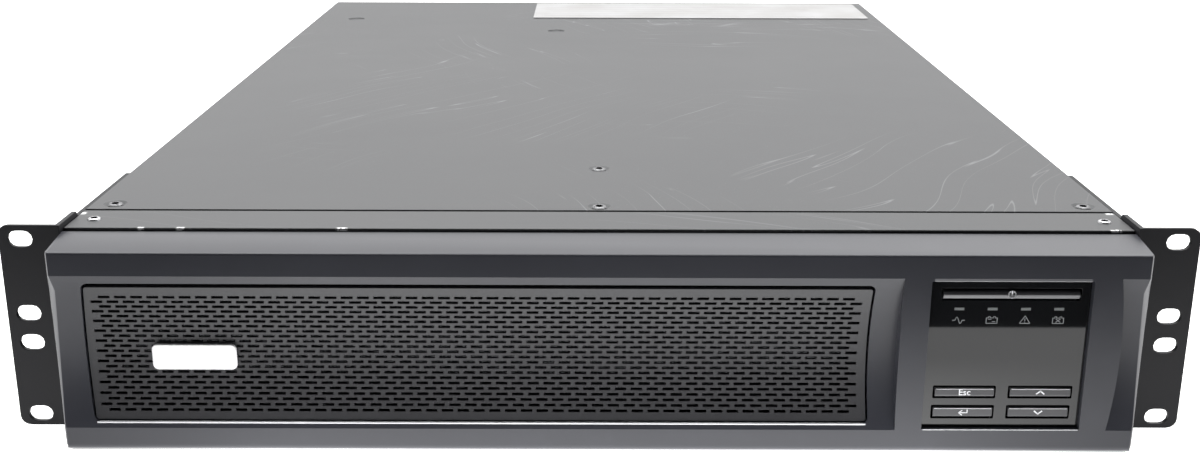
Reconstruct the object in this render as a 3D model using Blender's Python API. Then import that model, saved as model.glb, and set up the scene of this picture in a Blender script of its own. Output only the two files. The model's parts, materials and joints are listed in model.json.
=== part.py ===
"""Rack-mounted uninterruptible power supply, two rack units high.

The frame is metres, +Z up, front towards -Y.  The origin is under the middle
of the whole unit, on the plane that its base rests on.
"""
import math

import bmesh
import bpy
from mathutils import Matrix, Vector

# ---------------------------------------------------------------- dimensions
GAP = 0.0003                  # clearance between pieces that touch
SHEET = 0.0012                # steel sheet of the chassis
HALF_WIDTH = 0.216            # half the chassis width
HEIGHT = 0.086                # chassis height
EAR_Y = -0.3115               # front plane of the rack ears
TRAY_FRONT = EAR_Y + 0.004    # front wall of the base tray
SEAM_Y = EAR_Y + 0.029        # joint between the front strip and the cover
REAR = EAR_Y + 0.635          # outer face of the rear panel
TRAY_TOP = HEIGHT - SHEET - GAP
INNER = HALF_WIDTH - SHEET    # inner face of the side walls

EAR_OUTER = 0.4826 / 2        # standard width over the ears
EAR_SHEET = 0.002
EAR_BOTTOM, EAR_TOP = 0.0009, 0.0881
EAR_FLANGE = 0.090            # how far the ear runs back along the chassis
EAR_SHOULDER = 0.020          # how far its full height runs back
FLANGE_TOP = 0.0858
EAR_CORNER = 0.004
RACK_SLOT_X = 0.4651 / 2      # standard slot centres
RACK_SLOT_Z = (0.0061, 0.03785, 0.05055, 0.0823)
RACK_SLOT_LENGTH, RACK_SLOT_HEIGHT = 0.010, 0.0068

BEZEL_REAR = EAR_Y + 0.002
BEZEL_HALF_REAR, BEZEL_HALF_FRONT = 0.216, 0.2118
BEZEL_TOP = 0.08575
FACE_Y = EAR_Y - 0.028        # flat front of the band, the pillars and the lip
BAND_Z = 0.0764               # lower edge of the band along the bezel's top
LIP_Z = 0.0128                # upper edge of the lip along its foot
SCOOP_DEPTH = 0.006           # how far the hollowed face between them falls back
BEZEL_WALL_Y = EAR_Y - 0.0195  # inner face of the bezel's front wall

GRILLE_X = (-0.2005, 0.1068)
GRILLE_Z = (0.01515, 0.07295)
GRILLE_SET_BACK = 0.0006      # the insert's face behind the bezel's hollowed face
GRILLE_ROWS, GRILLE_COLUMNS = 23, 4
GRILLE_FIRST_Z, GRILLE_PITCH = 0.0195, 0.00214
GRILLE_MARGIN, GRILLE_BAR, GRILLE_CUT = 0.0055, 0.003, 0.0010
WINDOW_X = (0.1278, 0.1904)
WINDOW_Z = (0.01305, 0.07525)
PILLAR_WIDTH = 0.0105

MODULE_X = (0.1282, 0.1900)
MODULE_Z = (0.01350, 0.07490)
MODULE_FACE = EAR_Y - 0.0215
MODULE_BACK = EAR_Y + 0.012
MODULE_WALL = 0.0018
MODULE_FRONT_WALL = 0.0022
BUTTON_PROUD = 0.0006         # how far a key stands out of the pane

BAY_X = (-0.207, 0.105)       # opening that the battery tray slides through
BAY_TOP = 0.0735
BAY_BACK = 0.045              # back wall of the battery bay
BATTERY = (0.151, 0.094, 0.065)
DOOR_Y = (TRAY_FRONT - GAP - SHEET, TRAY_FRONT - GAP)
DOOR_SCREWS = ((-0.150, 0.0785), (0.050, 0.0785))

FAN_X = (0.082, 0.168)
FAN_Z = 0.0430
FAN_SIZE, FAN_DEPTH = 0.080, 0.025
FAN_BORE, FAN_TIP, FAN_HUB = 0.0385, 0.0365, 0.0150

OUTLET_X = (-0.068, 0.030)
OUTLET_ROWS = ((0.006, 0.040), (0.046, 0.080))
OUTLETS_PER_ROW = 3
GLAND_AT = (-0.185, 0.0225)
BREAKER_AT = (-0.089, 0.064)
GROUND_AT = (-0.089, 0.041)
SOCKET_X, SOCKET_Z = (-0.106, -0.072), (0.008, 0.028)
POLE_X = (SOCKET_X[0] + 0.0090, SOCKET_X[1] - 0.0090)
PORTS_X, PORTS_Z = (-0.162, -0.118), (0.009, 0.030)
JACK_X = (PORTS_X[0] + 0.0080, PORTS_X[0] + 0.0225)
USB_X = PORTS_X[1] - 0.0075
CARD_X, CARD_Z = (-0.206, -0.112), (0.046, 0.080)

COVER_SCREWS = ((-0.2063, EAR_Y + 0.0385), (0.0, EAR_Y + 0.0365),
                (0.2063, EAR_Y + 0.0385), (0.0, EAR_Y + 0.0990))
STRIP_SCREWS = ((-0.2075, EAR_Y + 0.0155), (0.2075, EAR_Y + 0.0155))
SCREW_HEAD, SCREW_SHANK, SCREW_HOLE = 0.0030, 0.0015, 0.0019

# ------------------------------------------------------------------ finishes
POWDER = dict(colour=(0.035, 0.036, 0.038), roughness=0.55, metallic=0.0)
EAR_PAINT = dict(colour=(0.020, 0.020, 0.022), roughness=0.45, metallic=0.0)
GREY_PLASTIC = dict(colour=(0.050, 0.053, 0.058), roughness=0.45, metallic=0.0)
DARK_PLASTIC = dict(colour=(0.015, 0.015, 0.017), roughness=0.45, metallic=0.0)
GLOSS_BLACK = dict(colour=(0.006, 0.006, 0.007), roughness=0.08, metallic=0.0)
BADGE_WHITE = dict(colour=(0.80, 0.81, 0.82), roughness=0.30, metallic=0.0)
STEEL = dict(colour=(0.50, 0.50, 0.51), roughness=0.35, metallic=1.0)
ZINC = dict(colour=(0.45, 0.46, 0.48), roughness=0.45, metallic=0.9)
ALUMINIUM = dict(colour=(0.70, 0.71, 0.72), roughness=0.35, metallic=1.0)
COPPER_COIL = dict(colour=(0.45, 0.20, 0.08), roughness=0.40, metallic=0.6)
BOARD_GREEN = dict(colour=(0.02, 0.12, 0.05), roughness=0.50, metallic=0.0)
BATTERY_CASE = dict(colour=(0.06, 0.07, 0.09), roughness=0.50, metallic=0.0)
STRAP_WEB = dict(colour=(0.03, 0.03, 0.03), roughness=0.90, metallic=0.0)
LCD_GREEN = dict(colour=(0.10, 0.12, 0.09), roughness=0.20, metallic=0.0)
CLEAR_LENS = dict(colour=(0.60, 0.62, 0.62), roughness=0.20, metallic=0.0)
LABEL_WHITE = dict(colour=(0.85, 0.85, 0.85), roughness=0.60, metallic=0.0)

AXES = {"X": Vector((1, 0, 0)), "Y": Vector((0, 1, 0)), "Z": Vector((0, 0, 1))}


# ------------------------------------------------------------------- helpers
def clear_scene():
    """Remove whatever the file holds, so that only this model is left."""
    for item in list(bpy.data.objects):
        bpy.data.objects.remove(item, do_unlink=True)


def make_material(name, colour, roughness, metallic):
    """Principled material of one finish."""
    material = bpy.data.materials.new(name)
    material.use_nodes = True
    shader = material.node_tree.nodes["Principled BSDF"]
    shader.inputs["Base Color"].default_value = (*colour, 1.0)
    shader.inputs["Roughness"].default_value = roughness
    shader.inputs["Metallic"].default_value = metallic
    material.diffuse_color = (*colour, 1.0)
    return material


def place(name, shape, finish, origin=(0, 0, 0), smooth=False):
    """Turn a bmesh drawn in the unit's frame into a named object at origin."""
    bmesh.ops.translate(shape, verts=shape.verts, vec=-Vector(origin))
    bmesh.ops.recalc_face_normals(shape, faces=shape.faces)
    mesh = bpy.data.meshes.new(name)
    shape.to_mesh(mesh)
    shape.free()
    if smooth:
        mesh.shade_smooth()
        mesh.set_sharp_from_angle(angle=math.radians(30))
    part = bpy.data.objects.new(name, mesh)
    part.location = origin
    bpy.context.collection.objects.link(part)
    mesh.materials.append(make_material(name, **finish))
    return part


def combine(part, shape, operation):
    """Boolean a helper shape, drawn in the unit's frame, with a part."""
    bmesh.ops.recalc_face_normals(shape, faces=shape.faces)
    label = f"{operation.lower()}_{part.name}_{len(part.modifiers)}"
    mesh = bpy.data.meshes.new(label)
    shape.to_mesh(mesh)
    shape.free()
    helper = bpy.data.objects.new(label, mesh)
    helper.hide_render = True
    helper.display_type = "WIRE"
    bpy.context.collection.objects.link(helper)
    modifier = part.modifiers.new(label, "BOOLEAN")
    modifier.operation = operation
    modifier.solver = "EXACT"
    modifier.object = helper
    return part


def cut(part, shape):
    return combine(part, shape, "DIFFERENCE")


def add(part, shape):
    return combine(part, shape, "UNION")


def block(x, y, z, bevel=0.0, segments=2):
    """Box between three pairs of limits, with rounded edges where asked."""
    shape = bmesh.new()
    bmesh.ops.create_cube(shape, size=1.0)
    size = (x[1] - x[0], y[1] - y[0], z[1] - z[0])
    middle = Vector(((x[0] + x[1]) / 2, (y[0] + y[1]) / 2, (z[0] + z[1]) / 2))
    bmesh.ops.scale(shape, verts=shape.verts, vec=size)
    bmesh.ops.translate(shape, verts=shape.verts, vec=middle)
    if bevel:
        bmesh.ops.bevel(shape, geom=shape.edges[:], offset=bevel, segments=segments,
                        profile=0.5, affect="EDGES", clamp_overlap=True, material=-1)
    return shape


def blocks(*limits):
    """Several separate boxes in one shape."""
    shape = bmesh.new()
    for x, y, z in limits:
        merge(shape, block(x, y, z))
    return shape


def merge(shape, other):
    """Copy another shape into this one, without joining them."""
    mesh = bpy.data.meshes.new("scratch")
    other.to_mesh(mesh)
    other.free()
    shape.from_mesh(mesh)
    bpy.data.meshes.remove(mesh)


def prism(outline, axis, span):
    """Extrude a closed outline along an axis.

    The outline's pairs are (y, z) for X, (x, z) for Y and (x, y) for Z.
    """
    def point(pair, along):
        a, b = pair
        return {"X": (along, a, b), "Y": (a, along, b), "Z": (a, b, along)}[axis]

    shape = bmesh.new()
    face = shape.faces.new([shape.verts.new(point(pair, span[0])) for pair in outline])
    grown = bmesh.ops.extrude_face_region(shape, geom=[face])
    moved = [item for item in grown["geom"] if isinstance(item, bmesh.types.BMVert)]
    bmesh.ops.translate(shape, verts=moved, vec=AXES[axis] * (span[1] - span[0]))
    return shape


def rod(radius, axis, span, at, segments=24, end_radius=None):
    """Cylinder, or cone with end_radius, along an axis; at is the other two coordinates."""
    shape = bmesh.new()
    last = radius if end_radius is None else end_radius
    bmesh.ops.create_cone(shape, cap_ends=True, cap_tris=False, segments=segments,
                          radius1=radius, radius2=last, depth=span[1] - span[0])
    turn = {"X": Matrix.Rotation(math.pi / 2, 3, "Y"),
            "Y": Matrix.Rotation(-math.pi / 2, 3, "X"),
            "Z": Matrix.Identity(3)}[axis]
    bmesh.ops.rotate(shape, verts=shape.verts, matrix=turn)
    middle = (span[0] + span[1]) / 2
    a, b = at
    centre = {"X": (middle, a, b), "Y": (a, middle, b), "Z": (a, b, middle)}[axis]
    bmesh.ops.translate(shape, verts=shape.verts, vec=centre)
    return shape


def arc(centre, radius, start, end, steps):
    """Points along an arc, both ends included; angles in degrees."""
    turns = [math.radians(start + (end - start) * i / steps) for i in range(steps + 1)]
    return [(centre[0] + radius * math.cos(a), centre[1] + radius * math.sin(a)) for a in turns]


def around(value, half):
    return (value - half, value + half)


# ------------------------------------------------------------------- chassis
def make_base_tray():
    """Pan with floor, side walls and a front wall that the bays open through."""
    tray = place("base_tray", block((-HALF_WIDTH, HALF_WIDTH), (TRAY_FRONT, REAR), (0, TRAY_TOP)),
                 POWDER)
    cut(tray, block((-INNER, INNER), (TRAY_FRONT + SHEET, REAR + 0.01), (SHEET, 0.1)))
    through = (TRAY_FRONT - 0.005, TRAY_FRONT + 0.003)
    cut(tray, blocks((BAY_X, through, (SHEET, BAY_TOP)),
                     ((WINDOW_X[0] - SHEET, WINDOW_X[1] + SHEET), through,
                      (WINDOW_Z[0] - 0.0015, WINDOW_Z[1] + 0.001))))
    for x, z in DOOR_SCREWS:
        cut(tray, rod(SCREW_HOLE, "Y", through, (x, z), 12))
    for x in (-0.195, -0.050, 0.090):
        for y in (0.070, 0.280):
            add(tray, rod(0.0035, "Z", (SHEET / 2, BOARD_Z[0] - GAP), (x, y), 12))


def make_front_strip():
    """Folded strip that ties the tray's front corners together above the bezel."""
    top = (HEIGHT - SHEET, HEIGHT)
    strip = place("front_crossmember",
                  block((-HALF_WIDTH, HALF_WIDTH), (TRAY_FRONT, SEAM_Y - GAP), top), POWDER)
    lip = (TRAY_FRONT + SHEET + GAP, TRAY_FRONT + 2 * SHEET + GAP)
    add(strip, block((-INNER + GAP, INNER - GAP), lip, (0.0805, HEIGHT - SHEET / 2)))
    for x, y in STRIP_SCREWS:
        cut(strip, rod(SCREW_HOLE, "Z", (0.08, 0.09), (x, y), 12))


def make_top_cover():
    """Flat lid with two flanges that drop inside the tray's side walls."""
    cover = place("top_cover",
                  block((-HALF_WIDTH, HALF_WIDTH), (SEAM_Y, REAR), (HEIGHT - SHEET, HEIGHT)), POWDER)
    flange = (0.074, HEIGHT - SHEET / 2)
    along = (SEAM_Y + 0.004, REAR - 0.004)
    for side in (-1, 1):
        edge = sorted((side * (INNER - GAP), side * (INNER - GAP - SHEET)))
        add(cover, block(edge, along, flange))
    for x, y in COVER_SCREWS:
        cut(cover, rod(SCREW_HOLE, "Z", (0.08, 0.09), (x, y), 12))


def make_rear_panel():
    """Back plate, cut out for the fans, outlets, ports and the cord gland."""
    face = (REAR - SHEET, REAR)
    through = (REAR - 0.004, REAR + 0.004)
    plate = place("rear_panel",
                  block((-INNER + GAP, INNER - GAP), face, (SHEET + GAP, TRAY_TOP - GAP)), POWDER)
    holes = [(widen(OUTLET_X), through, widen(row)) for row in OUTLET_ROWS]
    holes += [(widen(SOCKET_X), through, widen(SOCKET_Z)), (widen(PORTS_X), through, widen(PORTS_Z)),
              (widen(CARD_X, -0.006), through, widen(CARD_Z, -0.004))]
    cut(plate, blocks(*holes))
    for at, radius in ((GLAND_AT, 0.0113), (BREAKER_AT, 0.0063), (GROUND_AT, SCREW_HOLE)):
        cut(plate, rod(radius, "Y", through, at, 24))
    for x in FAN_X:
        cut(plate, fan_guard_slots(x, through))


def widen(limits, by=GAP):
    return (limits[0] - by, limits[1] + by)


def fan_guard_slots(x, through, rings=((0.010, 0.018), (0.021, 0.028), (0.031, 0.037))):
    """Curved slots punched in rings in front of a fan, four to a ring."""
    shape = bmesh.new()
    for inner, outer in rings:
        web = math.degrees(0.003 / (inner + outer))
        for quarter in range(4):
            start, end = 90 * quarter + 2 * web, 90 * quarter + 90 - 2 * web
            outline = arc((x, FAN_Z), outer, start, end, 5) + arc((x, FAN_Z), inner, end, start, 5)
            merge(shape, prism(outline, "Y", through))
    return shape


def make_rack_ear(name, side):
    """Angle bracket: a slotted front flange and a flange along the chassis."""
    inner = HALF_WIDTH + GAP
    corner_x = EAR_OUTER - EAR_CORNER
    corners = arc((corner_x, EAR_BOTTOM + EAR_CORNER), EAR_CORNER, -90, 0, 4)
    corners += arc((corner_x, EAR_TOP - EAR_CORNER), EAR_CORNER, 0, 90, 4)
    outline = [(side * x, z) for x, z in [(inner, EAR_BOTTOM), *corners, (inner, EAR_TOP)]]
    ear = place(name, prism(outline, "Y", (EAR_Y, EAR_Y + EAR_SHEET)), EAR_PAINT)
    edge = sorted((side * inner, side * (inner + EAR_SHEET)))
    front, shoulder, back = EAR_Y + EAR_SHEET / 2, EAR_Y + EAR_SHOULDER, EAR_Y + EAR_FLANGE
    flange = [(front, EAR_BOTTOM), (back, EAR_BOTTOM), (back, FLANGE_TOP),
              (shoulder + EAR_SHEET, FLANGE_TOP), (shoulder, EAR_TOP), (front, EAR_TOP)]
    add(ear, prism(flange, "X", edge))
    slots = bmesh.new()
    half, reach = RACK_SLOT_HEIGHT / 2, (RACK_SLOT_LENGTH - RACK_SLOT_HEIGHT) / 2
    for z in RACK_SLOT_Z:
        x = side * RACK_SLOT_X
        slot = arc((x + reach, z), half, -90, 90, 6) + arc((x - reach, z), half, 90, 270, 6)
        merge(slots, prism(slot, "Y", (EAR_Y - 0.004, EAR_Y + 0.006)))
    cut(ear, slots)


def make_screw(name, at, seat, finish=STEEL):
    """Low round-headed screw driven down into the sheet, with a driver recess."""
    x, y = at
    screw = place(name, rod(SCREW_HEAD, "Z", (seat + GAP, seat + GAP + 0.0009), at, 20), finish,
                  origin=(x, y, seat), smooth=True)
    add(screw, rod(SCREW_SHANK, "Z", (seat - 0.005, seat + GAP + 0.0004), at, 10))
    cut(screw, rod(0.0011, "Z", (seat + GAP + 0.0004, seat + 0.003), at, 6))


def make_bay_divider():
    """Bent wall that closes the battery bay off from the electronics."""
    right, back = 0.1095, BAY_BACK
    outline = [(-INNER + GAP, back), (right, back), (right, TRAY_FRONT + 2 * SHEET + 2 * GAP),
               (right + SHEET, TRAY_FRONT + 2 * SHEET + 2 * GAP), (right + SHEET, back + SHEET),
               (-INNER + GAP, back + SHEET)]
    place("bay_divider", prism(outline, "Z", (SHEET + GAP, 0.0735)), ZINC)


# --------------------------------------------------------------------- bezel
def bezel_half_width(y):
    """The bezel narrows evenly from its back edge to its front."""
    depth = (BEZEL_REAR - y) / (BEZEL_REAR - FACE_Y)
    return BEZEL_HALF_REAR + (BEZEL_HALF_FRONT - BEZEL_HALF_REAR) * min(max(depth, 0.0), 1.0)


def scoop(z):
    """How far the hollowed face lies behind the bezel's flat front at height z."""
    middle, half = (BAND_Z + LIP_Z) / 2, (BAND_Z - LIP_Z) / 2
    radius = (half ** 2 + SCOOP_DEPTH ** 2) / (2 * SCOOP_DEPTH)
    return math.sqrt(radius ** 2 - (z - middle) ** 2) - (radius - SCOOP_DEPTH)


def steps(low, high, count):
    return [low + (high - low) * i / count for i in range(count + 1)]


def make_bezel_frame():
    """Front moulding: band, hollowed face, lip, and flat pillars beside the window."""
    outline = [(BEZEL_REAR, 0.0010), (FACE_Y + 0.005, 0.0010), (FACE_Y, 0.0055)]
    outline += [(FACE_Y + scoop(z), z) for z in steps(LIP_Z, BAND_Z, 8)]
    outline += [(FACE_Y, BEZEL_TOP - 0.0008), (FACE_Y + 0.0008, BEZEL_TOP), (BEZEL_REAR, BEZEL_TOP)]
    shape = prism(outline, "X", (-1.0, 1.0))
    for vertex in shape.verts:
        vertex.co.x *= bezel_half_width(vertex.co.y)
    frame = place("bezel_frame", shape, GREY_PLASTIC)
    for inner in (WINDOW_X[0] - PILLAR_WIDTH, WINDOW_X[1]):
        add(frame, block((inner, inner + PILLAR_WIDTH), (FACE_Y, FACE_Y + SCOOP_DEPTH + 0.001),
                         (LIP_Z - 0.001, BAND_Z + 0.001)))
    cut(frame, block((-0.2085, 0.2085), (BEZEL_WALL_Y, 0), (0.0040, 0.0830)))
    through = (EAR_Y - 0.050, EAR_Y)
    cut(frame, blocks((GRILLE_X, through, GRILLE_Z), (WINDOW_X, through, WINDOW_Z)))


def make_grille():
    """Hollowed insert in the bezel, pierced by rows of fine slots."""
    wall, margin_all = 0.0020, 0.0005
    heights = steps(GRILLE_Z[0] + margin_all, GRILLE_Z[1] - margin_all, 6)
    front = [(FACE_Y + GRILLE_SET_BACK + scoop(z), z) for z in heights]
    back = [(y + wall, z) for y, z in front]
    grille = place("grille_insert",
                   prism(front + back[::-1], "X", widen(GRILLE_X, -margin_all)), DARK_PLASTIC)
    slots = bmesh.new()
    width = (GRILLE_X[1] - GRILLE_X[0] - 2 * GRILLE_MARGIN) / GRILLE_COLUMNS
    for row in range(GRILLE_ROWS):
        height = around(GRILLE_FIRST_Z + row * GRILLE_PITCH, GRILLE_CUT / 2)
        for column in range(GRILLE_COLUMNS):
            start = GRILLE_X[0] + GRILLE_MARGIN + column * width
            merge(slots, block((start + GRILLE_BAR / 2, start + width - GRILLE_BAR / 2),
                               (FACE_Y, FACE_Y + 0.012), height))
    cut(grille, slots)


def make_badge():
    """Plain oblong badge that stands on the grille."""
    back = FACE_Y + SCOOP_DEPTH - GAP
    badge = block((-0.1759, -0.1427), (back - 0.0014, back), (0.0360, 0.0465), bevel=0.0004, segments=1)
    place("badge", badge, BADGE_WHITE)


# ------------------------------------------------------------ display module
BUTTONS = {
    "power_button": ((0.1332, 0.1872), (0.0661, 0.0709)),
    "esc_button": ((0.1327, 0.1573), (0.0250, 0.0301)),
    "enter_button": ((0.1325, 0.1572), (0.0163, 0.0218)),
    "up_button": ((0.1624, 0.1875), (0.0250, 0.0301)),
    "down_button": ((0.1623, 0.1872), (0.0163, 0.0218)),
}
GLASS_X, GLASS_Z = (0.1287, 0.1895), (0.0140, 0.0744)
GLASS_BACK = MODULE_FACE - GAP
GLASS_FRONT = GLASS_BACK - 0.0012
LENS_X = (0.1404, 0.1533, 0.1662, 0.1791)
LENS_Z = 0.0625
LCD_X, LCD_Z = (0.1360, 0.1822), (0.0340, 0.0555)
WALL_BACK = MODULE_FACE + MODULE_FRONT_WALL


def make_display_housing():
    """Square box that carries the display; open at its back."""
    housing = place("display_housing",
                    block(MODULE_X, (MODULE_FACE, MODULE_BACK), MODULE_Z), DARK_PLASTIC)
    cut(housing, block(widen(MODULE_X, -MODULE_WALL), (WALL_BACK, MODULE_BACK + 0.01),
                       widen(MODULE_Z, -MODULE_WALL)))
    through = (MODULE_FACE - 0.003, WALL_BACK + 0.003)
    holes = [(widen(x), through, widen(z)) for x, z in BUTTONS.values()]
    holes += [(around(x, 0.0025), through, around(LENS_Z, 0.0010)) for x in LENS_X]
    holes += [(LCD_X, through, LCD_Z)]
    cut(housing, blocks(*holes))


def make_display_glass():
    """Tinted pane over the whole face of the module, slotted for the buttons."""
    glass = place("display_glass", block(GLASS_X, (GLASS_FRONT, GLASS_BACK), GLASS_Z), GLOSS_BLACK)
    through = (GLASS_FRONT - 0.002, GLASS_BACK + 0.0002)
    cut(glass, blocks(*[(widen(x), through, widen(z)) for x, z in BUTTONS.values()]))


def make_lcd_and_board():
    """Screen and circuit board behind the module's front wall."""
    board_y = EAR_Y - 0.0150
    place("lcd_panel", block(widen(LCD_X, 0.001), (WALL_BACK + GAP, board_y - GAP), widen(LCD_Z, 0.001)),
          LCD_GREEN)
    place("display_board", block((0.1310, 0.1872), (board_y, board_y + 0.0016), (0.0165, 0.0720)),
          BOARD_GREEN)


def make_light_guide():
    """One clear bar with four stubs that carry the lamps' light forward."""
    guide = place("light_guide", block((0.1375, 0.1820), (WALL_BACK + GAP, WALL_BACK + 0.0020),
                                       around(LENS_Z, 0.0016)), CLEAR_LENS)
    for x in LENS_X:
        add(guide, block(around(x, 0.0022), (MODULE_FACE, WALL_BACK + 0.0010), around(LENS_Z, 0.0007)))


def make_button(name, x, z):
    """Key cap that stands through the module's face, with a collar that keeps it in."""
    front = GLASS_FRONT - BUTTON_PROUD
    middle = ((x[0] + x[1]) / 2, WALL_BACK, (z[0] + z[1]) / 2)
    button = place(name, block(x, (front, WALL_BACK + 0.0010), z, bevel=0.0004, segments=1),
                   DARK_PLASTIC, origin=middle)
    add(button, block(widen(x, 0.0007), (WALL_BACK + GAP, WALL_BACK + 0.0014), widen(z, 0.0007)))


# --------------------------------------------------------------- battery bay
def make_battery_door():
    """Flat door over the battery bay, held by two captive thumbscrews."""
    plate = block((-0.2115, 0.1095), DOOR_Y, (0.0030, 0.0835))
    door = place("battery_door", plate, ZINC)
    for x, z in DOOR_SCREWS:
        cut(door, rod(SCREW_HOLE, "Y", (TRAY_FRONT - 0.01, TRAY_FRONT + 0.01), (x, z), 12))


def make_thumbscrew(name, at):
    """Captive screw with a scalloped knob, through the door and the tray's wall."""
    x, z = at
    knob = []
    lobes = 12
    for step in range(2 * lobes):
        radius = 0.0042 if step % 2 else 0.0038
        angle = math.pi * step / lobes
        knob.append((x + radius * math.cos(angle), z + radius * math.sin(angle)))
    front = DOOR_Y[0] - GAP
    screw = place(name, prism(knob, "Y", (front - 0.006, front)), STEEL, origin=(x, front, z))
    add(screw, rod(SCREW_SHANK, "Y", (front - 0.002, TRAY_FRONT + 0.0030), at, 10))


def make_battery_tray():
    """Sliding tray with low sides that carries the six batteries."""
    x, floor = widen(BAY_X, -0.001), SHEET + GAP
    length = (TRAY_FRONT + 0.0045, BAY_BACK - 0.006)
    tray = place("battery_tray", block(x, length, (floor, floor + 0.055)), ZINC)
    wall = 0.001
    cut(tray, block(widen(x, -wall), widen(length, -wall), (floor + wall, 0.1)))
    cut(tray, block((-0.3, 0.3), (length[0] + 0.010, length[1] - 0.010), (floor + 0.018, 0.1)))


def battery_positions():
    """Lower front corner of each battery: two columns of three."""
    width, depth, _ = BATTERY
    left = (BAY_X[0] + BAY_X[1]) / 2 - width - GAP
    front = TRAY_FRONT + 0.0065
    return [(left + column * (width + 2 * GAP), front + row * (depth + 2 * GAP))
            for row in range(3) for column in range(2)]


def make_battery(name, corner):
    """Sealed lead-acid block lying on its side, with two blade terminals on top."""
    x, y = corner
    width, depth, height = BATTERY
    floor = SHEET + GAP + 0.001 + GAP
    battery = place(name, block((x, x + width), (y, y + depth), (floor, floor + height),
                                bevel=0.0015, segments=1), BATTERY_CASE)
    top = floor + height
    for offset in (0.012, width - 0.018):
        add(battery, block((x + offset, x + offset + 0.006), (y + depth - 0.016, y + depth - 0.015),
                           (top - 0.001, top + 0.004)))


def make_pull_strap():
    """Webbing strap over the batteries, folded down in front of the tray."""
    top = SHEET + 2 * GAP + 0.001 + BATTERY[2] + GAP
    front = TRAY_FRONT + 0.0015 + SHEET
    thick = 0.0012
    outline = [(front, 0.030), (front + thick, 0.030), (front + thick, top), (front + 0.110, top),
               (front + 0.110, top + thick), (front, top + thick)]
    place("pull_strap", prism(outline, "X", (-0.110, -0.080)), STRAP_WEB)


def make_battery_connector():
    """Two-pole plug at the tray's back, where it meets the bay's socket."""
    place("battery_connector", block((0.030, 0.070), (-0.012, 0.030), (0.0045, 0.0245),
                                     bevel=0.001, segments=1), GREY_PLASTIC)


# --------------------------------------------------------------- electronics
BOARD_Z = (0.0100, 0.0116)
BOARD_X, BOARD_Y = (-0.205, 0.100), (0.060, 0.290)


def make_main_board():
    place("main_board", block(BOARD_X, BOARD_Y, BOARD_Z), BOARD_GREEN)


def make_heatsink(name, x):
    """Extruded aluminium block with upright fins."""
    base = BOARD_Z[1] + GAP
    fins, pitch, thick, width = 6, 0.0078, 0.0022, 0.0412
    outline = [(x, base), (x + width, base)]
    for fin in reversed(range(fins)):
        left = x + fin * pitch
        outline += [(left + thick, base + 0.050), (left, base + 0.050)]
        if fin:
            outline += [(left, base + 0.006), (left - pitch + thick, base + 0.006)]
    place(name, prism(outline, "Y", (0.110, 0.230)), ALUMINIUM)


def make_capacitor(name, at):
    """Snap-in electrolytic can."""
    base = BOARD_Z[1] + GAP
    can = rod(0.0150, "Z", (base, base + 0.045), at, 20)
    place(name, can, BATTERY_CASE, origin=(*at, base), smooth=True)


TRANSFORMER_AT = (0.162, 0.120)


def make_transformer():
    """Laminated core with two windows, and the winding round its middle leg."""
    x, y = TRANSFORMER_AT
    floor, top = SHEET + GAP, 0.079
    core = place("transformer_core", block(around(x, 0.048), around(y, 0.035), (floor, top)), STEEL)
    window = (floor + 0.013, top - 0.013)
    cut(core, blocks(((x - 0.035, x - 0.018), around(y, 0.05), window),
                     ((x + 0.018, x + 0.035), around(y, 0.05), window)))
    coil = place("transformer_coil", block(around(x, 0.0345), around(y, 0.050),
                                           widen(window, -0.0005), bevel=0.004, segments=2), COPPER_COIL)
    cut(coil, block(around(x, 0.0184), around(y, 0.0354), (0.0, 0.1)))


# --------------------------------------------------------------------- rear
def fan_span():
    back = REAR - SHEET - GAP
    return (back - FAN_DEPTH, back)


def make_fan_frame(name, x):
    """Square frame with a round duct, and a motor seat on three arms."""
    span = fan_span()
    frame = place(name, block(around(x, FAN_SIZE / 2), span, around(FAN_Z, FAN_SIZE / 2)), DARK_PLASTIC)
    cut(frame, rod(FAN_BORE, "Y", (span[0] - 0.01, span[1] + 0.01), (x, FAN_Z), 32))
    seat = (span[0], span[0] + 0.003)
    arms = rod(FAN_HUB, "Y", seat, (x, FAN_Z), 20)
    add(frame, arms)
    for turn in range(3):
        arm = block((x, x + FAN_BORE + 0.001), seat, around(FAN_Z, 0.0025))
        bmesh.ops.rotate(arm, verts=arm.verts, cent=(x, 0, FAN_Z),
                         matrix=Matrix.Rotation(math.radians(40 + 120 * turn), 3, "Y"))
        add(frame, arm)


def make_fan_rotor(name, x):
    """Hub with seven pitched blades, free to turn about its axle."""
    span = fan_span()
    body = (span[0] + 0.0045, span[1] - 0.0015)
    middle = (body[0] + body[1]) / 2
    rotor = place(name, rod(FAN_HUB, "Y", body, (x, FAN_Z), 28), DARK_PLASTIC, origin=(x, middle, FAN_Z))
    blades = 7
    for number in range(blades):
        blade = block((FAN_HUB - 0.002, FAN_TIP), (-0.0115, 0.0115), (-0.0007, 0.0007))
        bmesh.ops.rotate(blade, verts=blade.verts, matrix=Matrix.Rotation(math.radians(42), 3, "X"))
        bmesh.ops.rotate(blade, verts=blade.verts,
                         matrix=Matrix.Rotation(2 * math.pi * number / blades, 3, "Y"))
        bmesh.ops.translate(blade, verts=blade.verts, vec=(x, middle, FAN_Z))
        add(rotor, blade)


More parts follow.
